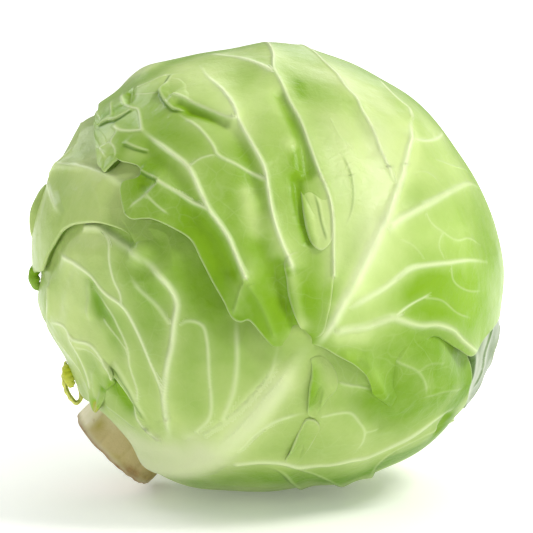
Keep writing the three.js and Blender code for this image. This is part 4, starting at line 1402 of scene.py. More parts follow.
UPPER_PATCHES = (
    # valleys beside the veins, sunk and given a richer green as their painted shade
    Patch(((307, 172), (304, 152), (297, 132), (287, 112), (280, 97)), 2.3, rise=-1.9, tone=0.5),
    Patch(((296, 180), (299, 205), (308, 240)), 1.9, rise=-1.4, tone=0.5),
    Patch(((300, 158), (306, 170)), 3.5, tone=0.5),
    Patch(((290, 146),), 3.0, rise=0.7, tone=-0.35),
    Patch(((340, 70), (390, 120), (425, 165)), 12, tone=-0.45, sun=-0.1),
    Patch(((330, 115), (345, 150)), 8, tone=-0.3, sun=-0.1),
    # painted sheen beside the midrib, partly its own pale colour
    Patch(((335, 130), (348, 190), (345, 250)), 9, white=0.22),
    Patch(((375, 130), (378, 180), (362, 240)), 8, white=0.4),
    Patch(((325, 75), (380, 105)), 7, white=0.2),
    Patch(((212, 84), (238, 106), (258, 98)), 13, tone=-0.5, sun=0.25),
    Patch(((225, 122), (236, 132)), 5, tone=-0.3),
    Patch(((190, 75), (230, 62), (262, 55)), 7, tone=-0.3),
    # painted highlight: the glossy patch right of a vein
    Patch(((247, 192), (253, 230)), 3.2, tone=-0.6),
    Patch(((278, 250), (262, 262)), 6, tone=-0.15),
    Patch(((355, 105), (368, 130)), 4, tone=0.35),
    Patch(((300, 95), (297, 82)), 3, tone=0.4),
    # more sunk valleys beside veins and folds, given a richer green as their painted shade
    Patch(((262, 205), (254, 178), (244, 152), (231, 132), (212, 118), (192, 110)), 3.6, rise=-1.9,
          tone=0.3),
    Patch(((283, 300), (272, 276), (262, 245), (256, 220)), 4.2, rise=-1.5, tone=0.2),
    Patch(((228, 268), (214, 240), (198, 215), (184, 194)), 4.0, rise=-1.2, tone=0.3),
    Patch(((180, 178), (160, 162), (146, 150)), 3.2, rise=-0.9, tone=0.1),
    # painted shade: the sunk valley under the second right vein
    Patch(((443, 341), (431, 337), (418, 333)), 2.6, rise=-0.4, tone=0.2),
    Patch(((398, 205), (404, 180), (407, 150)), 4.5, rise=-0.6),
    Patch(((372, 150), (362, 128), (352, 112)), 3.0, rise=-0.7),
    Patch(((352, 280), (365, 230), (375, 170), (375, 120)), 12, tone=-0.5, sun=0.15),
    Patch(((375, 160), (385, 130)), 13, tone=-0.15),
    Patch(((372, 235), (400, 180), (408, 130)), 4, tone=-0.25),
    Patch(((430, 130), (452, 165)), 12, tone=-0.4, sun=0.1),
    Patch(((480, 200), (486, 230)), 6, tone=0.05),
    Patch(((425, 235), (400, 255)), 9, tone=-0.25),
    Patch(((460, 240), (470, 300)), 12, sun=0.25),
    # painted shade: the sunk valley left of the folded strip
    Patch(((281, 262), (284, 290), (292, 318), (303, 338)), 2.6, rise=-1.5, tone=0.35),
    Patch(((309, 330), (312, 295), (312, 265)), 5, tone=0.25),
    Patch(((330, 350), (370, 345), (410, 345)), 6, tone=0.1),
    Patch(((395, 330), (430, 315)), 9, tone=0.1),
    Patch(((430, 290), (470, 300)), 13, tone=0.35, sun=0.1),
    Patch(((430, 235), (460, 235)), 9, tone=-0.1, sun=0.1),
    Patch(((296, 342), (300, 330)), 4, tone=-0.6),
    Patch(((345, 355), (362, 358), (374, 377), (384, 396)), 1.8, rise=1.1, tone=-0.1, sun=0.1),
    Patch(((385, 355), (395, 385)), 5, rise=-0.5, tone=0.1),
    Patch(((285, 60), (320, 75), (370, 90)), 8, tone=-0.25),
    Patch(((200, 230), (225, 270), (240, 305)), 8, tone=0.45),
    Patch(((260, 300), (270, 325)), 8, tone=0.3),
    Patch(((150, 150), (130, 140)), 9, tone=0.12),
    Patch(((160, 195), (145, 185)), 7, tone=0.28),
    Patch(((260, 240), (280, 290)), 7, tone=0.1),
    Patch(((200, 140), (235, 150)), 12, rise=0.8, tone=0.05),
    Patch(((180, 180), (205, 180)), 9, rise=0.3),
    # a raised bulge, paled as a painted highlight
    Patch(((255, 205), (262, 230)), 4, rise=0.9, tone=-0.2),
    Patch(((285, 150), (270, 120), (255, 95)), 10, rise=0.8, sun=0.1),
    Patch(((129, 102), (131, 93)), 2.2, rise=-1.6, tone=0.5, sun=0.6),
    Patch(((106, 116), (124, 108)), 2.5, tone=0.3),
    Patch(((140, 122), (128, 125)), 4, tone=0.1),
    Patch(((136, 78), (148, 71)), 7, rise=1.6),
    # painted highlight: the bright crinkled zone at the upper left
    Patch(((118, 90), (130, 80), (150, 70)), 4.5, white=0.3, settle=(0.1, 0.2)),
    Patch(((142, 90), (160, 82), (185, 68)), 5, tone=-0.35),
    # painted sheen: whitish streaks along the top
    Patch(((175, 66), (215, 56), (250, 50)), 5, tone=-0.4, sun=-0.1),
    Patch(((106, 138), (105, 155)), 4, tone=-0.25),
    Patch(((132, 152), (140, 155)), 3, tone=-0.3),
    # painted shade: the sunk hollow under the pocket's ridge
    Patch(((180, 104), (200, 112), (225, 122)), 2.2, rise=-1.3, tone=0.45),
    Patch(((146, 178), (154, 183)), 1.8, rise=-0.8, tone=0.6),
    Patch(((148, 188), (143, 185)), 1.2, rise=-0.6, tone=0.6),
    Patch(((240, 240), (250, 262)), 4.5, rise=0.6),
    Patch(((350, 360), (370, 380), (385, 398)), 4.5, rise=0.9, sun=0.15, tone=0.3),
    Patch(((345, 340), (385, 345)), 10, tone=-0.1),
    # painted sheen: the whitish zone at the upper left
    Patch(((120, 88), (138, 77)), 4.5, tone=-0.35),
    Patch(((338, 337), (362, 337)), 3.5, tone=-0.4),
    Patch(((333, 292), (350, 255), (366, 222)), 3, tone=0.3),
    Patch(((222, 285), (235, 303), (243, 318)), 4.5, rise=0.6, settle=(1.0, 0.15)),
    Patch(((190, 70), (205, 80)), 10, tone=-0.15),
    *JOINED_PATCHES,
)
SHOULDER_LINES = (
    Line(((60, 167), (74, 166), (89, 168), (103, 173), (119, 182), (130, 190)), (1.8, 1.3), (0.9, 0.5),
         0.4),
    Line(((73, 150), (67, 158), (61, 167), (55, 174), (51, 180)), (0.8, 0.8), (0.7, 0.6), 0.75),
    Line(((51, 180), (54, 200), (60, 214)), (0.8, 0.7), (0.5, 0.3), 0.5),
    Line(((58, 190), (62, 205), (66, 216)), (1.2, 0.8), (-0.5, -0.3), 0.0),
)
SHOULDER_PATCHES = (
    Patch(((80, 200), (110, 205)), 12, rise=0.4, tone=-0.12),
    Patch(((130, 235), (150, 245)), 8, tone=0.35, sun=0.1),
    Patch(((80, 155), (60, 170)), 6, tone=0.1),
)
FAR_LINES = (
    Line(((478, 351), (478, 365), (476, 378), (470, 394), (463, 410)), (2.2, 2.0), (0.9, 0.7), 1.0,
         Stroke.FOLD, (0.1, 0.1)),
    Line(((492, 330), (486, 352), (483, 372), (474, 394)), (0.8, 0.7), (0.6, 0.5), 0.8, Stroke.FOLD),
    Line(((498, 326), (492, 350), (488, 372)), (0.8, 0.7), (0.9, 0.6), 0.5),
)
FAR_PATCHES = (
    Patch(((488, 335), (486, 350), (482, 372), (474, 392)), 4, tone=-0.6),
    # painted shade: darkens the far leaf's outermost band
    Patch(((499, 322), (495, 345), (489, 366), (482, 386)), 6, settle=(0.95, 0.2)),
    Patch(((480, 387), (474, 397)), 6, rise=1.3),
)
LOWER_RELIEF = Relief(FRONT_WAVES, LOWER_LINES, LOWER_PATCHES, tone=0.34, sun=0.05)
UPPER_RELIEF = Relief(FRONT_WAVES, UPPER_LINES, UPPER_PATCHES, tone=0.74, sun=0.3)
SHOULDER_RELIEF = Relief(FRONT_WAVES, SHOULDER_LINES, SHOULDER_PATCHES, tone=0.34, sun=0.05)
FAR_RELIEF = Relief(FRONT_WAVES, FAR_LINES, FAR_PATCHES, tone=0.8, sun=0.0)


@dataclass(frozen=True)
class Lap:
    """A strip, fold or flap that stands up from one of the front leaf's halves.

    Args:
        name: the piece's name.
        middle: the pixel of its middle.
        edge: the pixels of its edge.
        lifts: where its edge stands up or sinks.
        rim: how pale its torn edge is.
        on_upper: whether it belongs to the upper half.
        patches: its own soft spots.
        rise: how far it lies above its half.
        cells: how many cells its grid has along each side.
        thickness: of its blade.
    """

    name: str
    middle: Place
    edge: Sequence[Place]
    lifts: Sequence[EdgeLift]
    rim: float = 0.5
    on_upper: bool = True
    patches: Sequence[Patch] = ()
    rise: float = 0.3
    cells: int = 64
    thickness: float = 0.6


LAPS = (
    Lap("front_folded_strip", (309, 285),
        ((284, 262), (286, 278), (288, 295), (294, 315), (301, 330), (309, 342), (316, 339), (322, 332),
         (326, 318), (330, 300), (332, 280), (332, 262), (326, 255), (316, 252), (304, 250), (292, 252)),
        (EdgeLift((287, 290), 12, 1.7, 8), EdgeLift((328, 300), 10, 0.3, 4),
         EdgeLift((308, 340), 3, -0.9, 4), EdgeLift((305, 252), 10, -0.8, 8)),
        patches=(Patch(((291, 280), (294, 300), (301, 325)), 2.0, tone=-0.5),)),
    Lap("front_pocket_fold", (318, 222),
        ((299, 181), (301, 194), (303, 214), (307, 232), (313, 246), (320, 250.5), (326, 247), (331, 238),
         (332, 222), (330, 204), (325, 191), (316, 182), (306, 177)),
        (EdgeLift((303, 218), 9, 1.7, 8), EdgeLift((317, 249), 4, 1.0, 5), EdgeLift((331, 215), 10, -0.6, 8),
         EdgeLift((310, 178), 6, -1.3, 8)), patches=(Patch(((312, 195), (317, 235)), 5, tone=-0.45),)),
    Lap("front_upper_flap", (323, 380),
        ((310, 359), (316, 356), (323, 357), (331, 363), (338, 374), (339, 383), (335, 392), (327, 399),
         (320, 407), (313, 417), (308, 414), (307, 400), (308, 386), (311, 372), (311, 364)),
        (EdgeLift((307, 395), 9, 2.0, 9), EdgeLift((337, 385), 7, -0.55, 5),
         EdgeLift((325, 402), 5, -0.3, 4), EdgeLift((320, 357), 6, -0.45, 4)), 0.3, False,
        (Patch(((311, 372), (310, 400)), 3.5, tone=0.5, sun=0.2),
         Patch(((328, 366), (334, 384)), 3, tone=-0.2),
         Patch(((315, 363), (318, 380), (313, 402)), 3.0, rise=0.5))),
    Lap("front_lower_flap", (303, 440),
        ((307, 418), (314, 419), (320, 427), (316, 436), (311, 443), (303, 453), (296, 461), (289, 463),
         (285, 458), (289, 450), (293, 441), (299, 430)),
        (EdgeLift((291, 445), 9, 1.5, 7), EdgeLift((316, 436), 7, -0.5, 5), EdgeLift((312, 419), 4, 0.8, 4),
         EdgeLift((288, 461), 3, -0.6, 4)), 0.5, False,
        (Patch(((300, 434), (292, 452)), 3.5, tone=0.15, sun=0.1),)),
    Lap("front_stem_lobe", (98, 372),
        ((78, 340), (77, 356), (83, 372), (90, 388), (94, 402), (99, 409), (103, 403), (106, 392),
         (113, 383), (115, 372), (108, 360), (100, 345), (88, 336)),
        (EdgeLift((99, 407), 6, 2.6, 8), EdgeLift((112, 380), 6, 2.2, 5), EdgeLift((90, 338), 12, -0.9, 8),
         EdgeLift((80, 365), 7, 0.5, 4)), 0.2, False,
        (Patch(((102, 389), (108, 392), (114, 386)), 1.3, rise=-0.4, tone=0.5, sun=0.2),
         Patch(((99, 404), (101, 410)), 2.6, settle=(1.0, 0.97)),
         Patch(((104, 372), (107, 384)), 3, tone=-0.2),
         Patch(((95, 374), (97, 395)), 2.0, rise=0.6, tone=-0.2),
         Patch(((92, 362), (97, 392)), 9, tone=0.22))),
    Lap("front_ragged_tip", (106, 148),
        ((94, 130), (94.5, 140), (96, 152), (97.6, 164), (102, 169.4), (105, 172.3), (108.3, 168.6),
         (113, 162.5), (117, 158), (120, 150), (119, 141), (112, 134), (103, 129)),
        (EdgeLift((103, 170), 5, 0.9, 5), EdgeLift((96, 150), 6, 0.6, 4), EdgeLift((117, 140), 7, -0.9, 6),
         EdgeLift((108, 131), 6, -0.9, 5)), 0.35),
    Lap("front_crumpled_fold", (116, 107),
        ((97, 126), (103, 123.5), (109, 121), (114, 121), (123, 116.5), (129, 112.8), (135, 110), (141, 102),
         (141, 92), (133, 88), (124, 91), (112, 100), (102, 106), (96, 112), (94, 120)),
        (EdgeLift((112, 121), 8, 0.5, 6), EdgeLift((126, 114), 7, 0.3, 5), EdgeLift((108, 101), 12, -1.2, 8),
         EdgeLift((140, 97), 9, -1.4, 7)), 0.15),
    Lap("front_fold_pocket", (179, 94),
        ((172, 76), (170, 78), (165.7, 85), (160.5, 92.5), (165, 103), (169.5, 108), (173.3, 111),
         (178, 111.5), (184, 110), (194, 108), (200, 98), (196, 84), (186, 77), (178, 75)),
        (EdgeLift((161, 93), 6, 1.2, 5), EdgeLift((175, 111), 5, 0.8, 4), EdgeLift((198, 96), 10, -1.2, 6),
         EdgeLift((184, 76), 7, -1.2, 5)), 0.2),
)


@dataclass
class FrontLeaf:
    """The torn leaf that covers the photographed side: two halves, a shoulder, a strip and flaps.

    Args:
        press: how far the lower half is pressed in beside the upper half.
        sink: how much deeper it runs on under it.
        ramp: over what distance it is pressed in.
        shoulder_press: how far it is pressed in beside the shoulder.
        lower: the pixel that the grid of the lower half spreads from, and those of its edge.
        upper: the same for the upper half.
        shoulder: the same for the shoulder.
        far: the same for the pale leaf past the right edges of both halves.
    """

    press: float = 3.3
    sink: float = 2.2
    ramp: float = 11.0
    shoulder_press: float = 2.8
    lower: tuple[Place, Sequence[Place]] = ((235, 370), LOWER_EDGE)
    upper: tuple[Place, Sequence[Place]] = ((300, 190), UPPER_EDGE)
    shoulder: tuple[Place, Sequence[Place]] = ((95, 150), SHOULDER_EDGE)
    far: tuple[Place, Sequence[Place]] = ((480, 366), FAR_EDGE)

    # pixels where the two halves are one, with their reach, and the shares of it where that fades
    FUSED = ((296, 349, 9.0), (418, 372, 17.0), (404, 404, 7.0))
    FUSED_FADE = (0.45, 1.5)
    # how deep below the upper half the sinking starts and ends, and what a joined place adds to that
    SINK_FROM = (2.5, 6)
    SINK_TO = (9, 12)
    # where the shoulder's arch ends at the tear, and the distances from there where it sets in
    ARCH_END = (139, 256)
    ARCH_FADE = (1, 8)
    # how far the upper half and the shoulder stand above their places
    UPPER_RISE = 0.06
    SHOULDER_RISE = 0.05
    # the slit left of the far leaf, that leaf's depth, and what it lies deeper by near and left of it
    SLIT = ((477, 350), (477, 363), (474, 380), (465, 407))
    FAR_DEPTH = 0.6
    NEAR_SLIT = (1.2, 1, 9)
    PAST_SLIT = (4.5, -2.5, 0)

    @cached_property
    def outlines(self) -> list[Outline]:
        """The edges of the lower half, the upper half and the shoulder."""
        return [Outline.from_pixels(*part) for part in (self.lower, self.upper, self.shoulder)]

    def fused(self, directions: Vectors) -> Vectors:
        """Tells where the two halves are one leaf.

        Args:
            directions: the places.

        Returns:
            1 there, falling to 0 away from there.
        """
        result = np.zeros(len(directions))
        for x, y, reach in self.FUSED:
            near, far = (reach * share for share in self.FUSED_FADE)
            result = np.maximum(result, 1 - smoothstep(HEAD.away_from(directions, (x, y)), near, far))
        return result

    def under_upper(self, directions: Vectors) -> Vectors:
        """Tells how far the lower half is pressed in beside and under the upper half.

        Args:
            directions: the places.

        Returns:
            The depths under the head's form.
        """
        _, upper, _ = self.outlines
        joined = self.fused(directions)
        beside = self.press * upper.cover(directions, self.ramp) * (1 - joined)
        low, high = (start + more * joined for start, more in (self.SINK_FROM, self.SINK_TO))
        return beside + self.sink * smoothstep(upper.depth(directions), low, high)

    def lower_base(self, directions: Vectors) -> Vectors:
        """Tells how far the lower half lies under the head's form.

        Args:
            directions: the places.

        Returns:
            The depths.
        """
        *_, shoulder = self.outlines
        arch = self.shoulder_press * shoulder.cover(directions, self.ramp)
        set_in = smoothstep(HEAD.away_from(directions, self.ARCH_END), *self.ARCH_FADE)
        return np.maximum(arch * set_in, self.under_upper(directions))

    def upper_base(self, directions: Vectors) -> Vectors:
        """Returns how far the upper half lies under the head's form."""
        return np.full(len(directions), -self.UPPER_RISE)

    def shoulder_base(self, directions: Vectors) -> Vectors:
        """Returns how far the shoulder lies under the head's form."""
        return self.under_upper(directions) - self.SHOULDER_RISE

    @cached_property
    def sheets(self) -> tuple[LeafSheet, ...]:
        """The lower half, the upper half and the shoulder."""
        lower, upper, shoulder = self.outlines
        upper_lifts = (
            EdgeLift((296, 349), 6, -0.25, 11), EdgeLift((410, 380), 16, -0.75, 22),
            EdgeLift((224, 302), 14, 0.5, 6), EdgeLift((350, 362), 10, 0.5, 5),
            EdgeLift((160, 220), 10, 0.4, 6))
        return (
            LeafSheet("front_lower_half", lower, LOWER_RELIEF, self.lower_base, 290,
                      lifts=(EdgeLift((471, 374), 14, 0.7, 6), EdgeLift((444, 420), 8, 0.5, 5)), rim=0.6),
            LeafSheet("front_upper_half", upper, UPPER_RELIEF, self.upper_base, 290,
                      lifts=upper_lifts, rim=0.55, joined=self.fused),
            LeafSheet("front_shoulder", shoulder, SHOULDER_RELIEF, self.shoulder_base, 130,
                      lifts=(EdgeLift((150, 246), 9, -1.6, 8), EdgeLift((90, 223), 14, 0.4, 6)), rim=0.35),
        )

    def build(self, material: bpy.types.Material) -> None:
        """Makes the leaf's pieces.

        Args:
            material: the skin of all but the far leaf, which shows its pale back, greyed and darkened as
                painted shade.
        """
        for sheet in (*self.sheets, *self.laps()):
            dress(sheet.build(), material, "leaf_green", "leaf_front")
        # the far leaf's pale back, its greens greyed and darkened to paint the shade it lies in
        back = LeafFinish("leaf_back_shaded_skin", "c2ccb6", "4a6a22", "c2ccb6", "567628", "dde4cf", "c2ccb6")
        dress(self.far_leaf().build(), back.material(), "leaf_green", "leaf_front")

    def far_leaf(self) -> LeafSheet:
        """Makes the pale leaf that shows past the right edges of both halves."""
        return LeafSheet("front_far_leaf", Outline.from_pixels(*self.far), FAR_RELIEF,
                         self.far_base, 80, rim=0.6)

    def far_base(self, directions: Vectors) -> Vectors:
        """Tells how far the far leaf lies under the head's form: deep left of the slit.

        Args:
            directions: the places.

        Returns:
            The depths.
        """
        beyond = Trace.through(HEAD.at_pixel(self.SLIT)).measure(directions, Trace.ALL)[1]
        depths = self.FAR_DEPTH
        for depth, start, end in (self.NEAR_SLIT, self.PAST_SLIT):
            depths = depths + depth * (1 - smoothstep(beyond, start, end))
        return depths

    def laps(self) -> Iterable[LeafSheet]:
        """Makes the strip, the folds and the flaps that stand up from the two halves."""
        for lap in LAPS:
            relief = UPPER_RELIEF if lap.on_upper else LOWER_RELIEF
            relief = replace(relief, patches=(*relief.patches, *lap.patches))
            yield LeafSheet(lap.name, Outline.from_pixels(lap.middle, lap.edge), relief,
                            partial(self.lap_base, lap), lap.cells, lap.thickness, lap.lifts, lap.rim)

    def lap_base(self, lap: Lap, directions: Vectors) -> Vectors:
        """Returns how far a lap lies under the head's form."""
        under = 0 if lap.on_upper else self.under_upper(directions)
        return under - lap.rise + np.zeros(len(directions))


@dataclass
class WrappedLeaf:
    """A whole leaf that wraps a side of the head: a rounded blade with a waved edge and branched veins.

    Args:
        name: the piece's name.
        node: the CAD node that it stands for.
        slot: the record's slot of its finish.
        longitude: of its middle, round the stem.
        from_stem: angle of its middle from the stem.
        length: half its length along the meridian.
        width: half its width across it.
        waves: how many waves its edge has.
        wave: their size.
        cells: how many cells its grid has along each side.
        tone: the richness of its green.
        sun: the yellow of its green.
        seed: what its draws start from.
        vein_turn: how far its midrib lies from its middle's longitude.
        covers: the outlines of the leaves over it, and how deep it lies under each.
        over: the shells of the leaves over it.
    """

    name: str
    node: str
    slot: str
    longitude: float
    from_stem: float
    length: float
    width: float
    waves: int
    wave: float
    cells: int
    tone: float
    sun: float
    seed: int
    vein_turn: float = 0.0
    covers: Sequence[tuple[Outline, float]] = ()
    over: Sequence[LeafSheet] = ()

    # how far it keeps below the leaves over it, and how far past their edges
    CLEARANCE = 2.0
    MARGIN = 2.0
    # over what distance it is pressed in beside them
    RAMP = 12.0
    # how many corners its edge has, and the height of its faster waves
    CORNERS = 96
    FASTER = 0.4
    # degrees from the stem: the midrib's two ends with its points, and where side veins leave it
    MIDRIB = (14, 150, 9)
    SIDE_VEINS = (24, 118, 12.5)
    # degrees from the stem between which the midrib's base is white
    WHITE_BASE = (12.0, 34.0)
    # how many steps a side vein has, and at which of them its twigs leave it
    STEPS = 5
    TWIGS = (1, 2, 3)

    @cached_property
    def outline(self) -> Outline:
        """The leaf's edge, as in the CAD."""
        middle = HEAD.on_meridian(self.longitude, self.from_stem)
        along = HEAD.on_meridian(self.longitude, self.from_stem + 90)
        across = np.cross(middle, along)
        turn = np.linspace(0, 2 * math.pi, self.CORNERS, endpoint=False)
        reach = 1 / np.hypot(np.cos(turn) / self.length, np.sin(turn) / self.width)
        wobble = np.sin(self.waves * turn + self.longitude)
        wobble = wobble + self.FASTER * np.sin(2.3 * self.waves * turn + self.seed)
        angle = ((reach + self.wave * wobble) / HEAD.depth)[:, None]
        return Outline(middle, np.cos(angle) * middle + np.sin(angle) * around(turn, along, across))

    @cached_property
    def relief(self) -> Relief:
        """Midrib, side veins and their branches."""
        draw = np.random.default_rng(self.seed)
        middle = self.longitude + self.vein_turn
        stations = np.linspace(*self.MIDRIB)
        sway = 2.5 * np.sin(stations / 24 + self.seed)
        lines = [Line(HEAD.on_meridian(middle + sway / np.sin(np.radians(stations)), stations),
                      (6.0, 0.8), (3.0, 0.6), 0.85)]
        for side in (-1, 1):
            for start in np.arange(*self.SIDE_VEINS):
                begin = start + draw.uniform(-2, 2) + 3 * side
                steps = np.arange(self.STEPS)
                turn = middle + side * (1.5 + 12 * steps + 1.5 * steps**2) / np.sin(math.radians(begin + 10))
                down = begin + 9.5 * steps - 0.7 * steps**2 + draw.uniform(-0.8, 0.8, self.STEPS)
                main = HEAD.on_meridian(turn, down)
                lines.append(Line(main, (1.1, 0.6), (0.8, 0.35), 0.75))
                for k in self.TWIGS:
                    lean = draw.uniform(9, 15)
                    twig = [HEAD.on_meridian(turn[k], down[k]),
                            HEAD.on_meridian(turn[k] + side * 5, down[k] + lean * 0.55),
                            HEAD.on_meridian(turn[k] + side * 7 + draw.uniform(-2, 3), down[k] + lean)]
                    lines.append(Line(np.array(twig), (0.6, 0.45), (0.35, 0.2), 0.5))
        base = HEAD.on_meridian(np.full(2, middle), np.array(self.WHITE_BASE))
        patches = (Patch(base, 11, white=0.8), Patch(base, 20, tone=-0.25))
        return Relief(Waves(self.seed, 0.5, (15, 60)), lines, patches, self.tone, self.sun)

    def base(self, directions: Vectors) -> Vectors:
        """Returns how far the leaf lies under the head's form, below the leaves that cover it."""
        return sum((depth * outline.cover(directions, self.RAMP) for outline, depth in self.covers),
                   np.zeros(len(directions)))

    def ceiling(self, directions: Vectors) -> Vectors:
        """Keeps the leaf under those over it.

        Args:
            directions: the places.

        Returns:
            The greatest heights that it may have there.
        """
        limit = np.full(len(directions), np.inf)
        for sheet in self.over:
            covered = np.flatnonzero(sheet.outline.depth(directions) > -self.MARGIN)
            chosen = directions[covered]
            limit[covered] = np.minimum(limit[covered], sheet.surface(chosen)[0] - self.CLEARANCE)
        return limit

    @cached_property
    def sheet(self) -> LeafSheet:
        """The leaf's shell."""
        return LeafSheet(self.name, self.outline, self.relief, self.base, self.cells, 1.0,
                         rim=0.35, frill=(0.5, self.waves * 2, 14.0), ceiling=self.ceiling)

    def build(self, material: bpy.types.Material) -> None:
        """Makes the leaf."""
        dress(self.sheet.build(), material, self.slot, self.node)


# the four leaves under the front leaf, from the outermost in, with the values that WrappedLeaf takes
WRAPPED = (
    ("left_leaf", "leaf_left", "leaf_green", 100, 84, 102, 84, 9, 1.6, 200, 0.5, 0.1, 21, 18),
    ("bottom_leaf", "leaf_bottom", "leaf_green", -96, 86, 104, 84, 11, 1.5, 200, 0.62, 0.2, 22, -22),
    ("back_leaf", "leaf_back", "leaf_green", 182, 82, 100, 88, 10, 1.8, 210, 0.55, 0.2, 23, 0),
    ("crown_leaf", "leaf_crown", "leaf_pale", 190, 150, 82, 78, 8, 1.2, 130, 0.2, 0.3, 24, 0),
)
# how deep they lie under the front leaf's lower and upper half, and under each other
PRESS_UNDER_LOWER = 3.0
PRESS_UNDER_UPPER = 3.6
PRESS_UNDER_LEAF = 1.5


@dataclass(frozen=True)
class Curl:
    """A lip of leaf that rolls away from the head: a trough round a path, with a waved free edge.

    Args:
        name: the piece's name.
        path: pixels of its middle, each with its distance towards the viewer from the head's centre.
        radius: of the roll at its ends and its middle.
        turn: the angles in degrees between which it rolls, from the right, anticlockwise along the path.
        frill: the height and number of the waves of its free edge.
        tone: the richness of its green.
        sun: the yellow of its green.
        thickness: of its blade.
        cells: how many cells its grid has along and round the roll.
    """

    name: str
    path: Sequence[Place]
    radius: tuple[float, float]
    turn: tuple[float, float]
    frill: tuple[float, int] = (0.0, 0)
    tone: float = 0.4
    sun: float = 0.2
    thickness: float = 0.8
    cells: tuple[int, int] = (110, 44)

    # how many places its path is worked out at, and how full the roll is near its ends
    STATIONS = 160
    FULLNESS = 0.7
    # the olive of its free edge, and the shares of its width between which that sets in
    OLIVE = 0.6
    FREE_EDGE = (0.93, 1.0)

    def build(self, material: bpy.types.Material) -> None:
        """Makes the curl.

        Args:
            material: its skin.
        """
        piece = add_primitive(bpy.ops.mesh.primitive_grid_add, self.name, x_subdivisions=self.cells[0],
                              y_subdivisions=self.cells[1], size=2)
        along, across = (read_places(piece)[:, :2].T + 1) / 2
        x, y, near = np.array(self.path, float).T
        right, up = HEAD.aside(x, y)
        scale = 1 - near / HEAD.view_distance
        middle = smooth_path(np.stack([right * scale, up * scale, near], axis=1), self.STATIONS)
        steps = np.linspace(0, 1, self.STATIONS)
        centre = between_rows(along, steps, middle)
        ahead = between_rows(along, steps, unit(np.gradient(middle, axis=0)))
        side = unit(np.cross(ahead, [0, 0, 1.0]))
        front = np.cross(side, ahead)
        thin, full = self.radius
        radius = thin + (full - thin) * np.sin(math.pi * along) ** self.FULLNESS
        low, high = np.radians(self.turn)
        height, waves = self.frill
        radius = radius + height * across**2 * np.sin(2 * math.pi * waves * along)
        places = centre + radius[:, None] * around(low + (high - low) * across, side, front)
        write_places(piece, HEAD.centre + HEAD.from_view(places))
        tone = self.tone + 0.15 * np.sin(5 * along)
        olive = self.OLIVE * smoothstep(across, *self.FREE_EDGE)
        write_even_skin(piece, np.stack([0 * along, tone, 0 * along + self.sun, olive], axis=1))
        blade = piece.modifiers.new("blade", "SOLIDIFY")
        blade.thickness = self.thickness * MM
        blade.offset = 0
        bpy.ops.object.modifier_apply(modifier=blade.name)
        dress(piece, material, "leaf_green")


CURLS = (
    Curl("outer_curl", ((48, 186, 8), (42, 200, 9), (38, 215, 9), (38, 232, 9), (43, 250, 8)), (0.8, 2.6),
         (-100, 150), (0.25, 3), 0.25, 0.1),
    Curl("small_curl", ((41, 262, 10), (36, 268, 11), (34, 276, 11), (36, 284, 10), (41, 289, 8)),
         (0.5, 1.7), (-120, 160), (0.3, 4), 0.85, 0.3),
)
OLIVE_CURLS = (
    Curl("frilled_loop",
         ((66, 362, 0), (64, 370, 3), (64, 380, 4), (66.5, 390, 4), (71, 398, 3), (76, 402.5, 2),
          (80, 400, 1), (80.5, 393, 0), (78, 386, -2)),
         (0.3, 0.7), (-160, 110), (0.35, 9), 0.15, 0.3, 0.45, (150, 16)),
    Curl("olive_lip", ((67, 365, 4), (69, 376, 5), (72, 387, 5)), (0.6, 2.0), (-60, 150), (0.25, 5), 0.75,
         0.6, 0.5, (60, 24)),
)


@dataclass
class Heart:
    """The tight pale inside of the head, wholly under its leaves.

    Args:
        under: how far it lies under the head's form.
        steps: how often its triangles are divided.
        tone: the richness of its green.
        sun: the yellow of its green.
    """

    under: float = 9.5
    steps: int = 5
    tone: float = 0.3
    sun: float = 0.3

    def build(self, material: bpy.types.Material) -> None:
        """Makes the heart.

        Args:
            material: its skin.
        """
        piece = add_primitive(bpy.ops.mesh.primitive_ico_sphere_add, "tight_heart",
                              subdivisions=self.steps, radius=1)
        directions = unit(read_places(piece))
        radii = HEAD.radius(directions) - self.under
        write_places(piece, HEAD.centre + directions * radii[:, None])
        write_even_skin(piece, np.tile([0, self.tone, self.sun, 0], (len(radii), 1)))
        dress(piece, material, "heart", "heart")


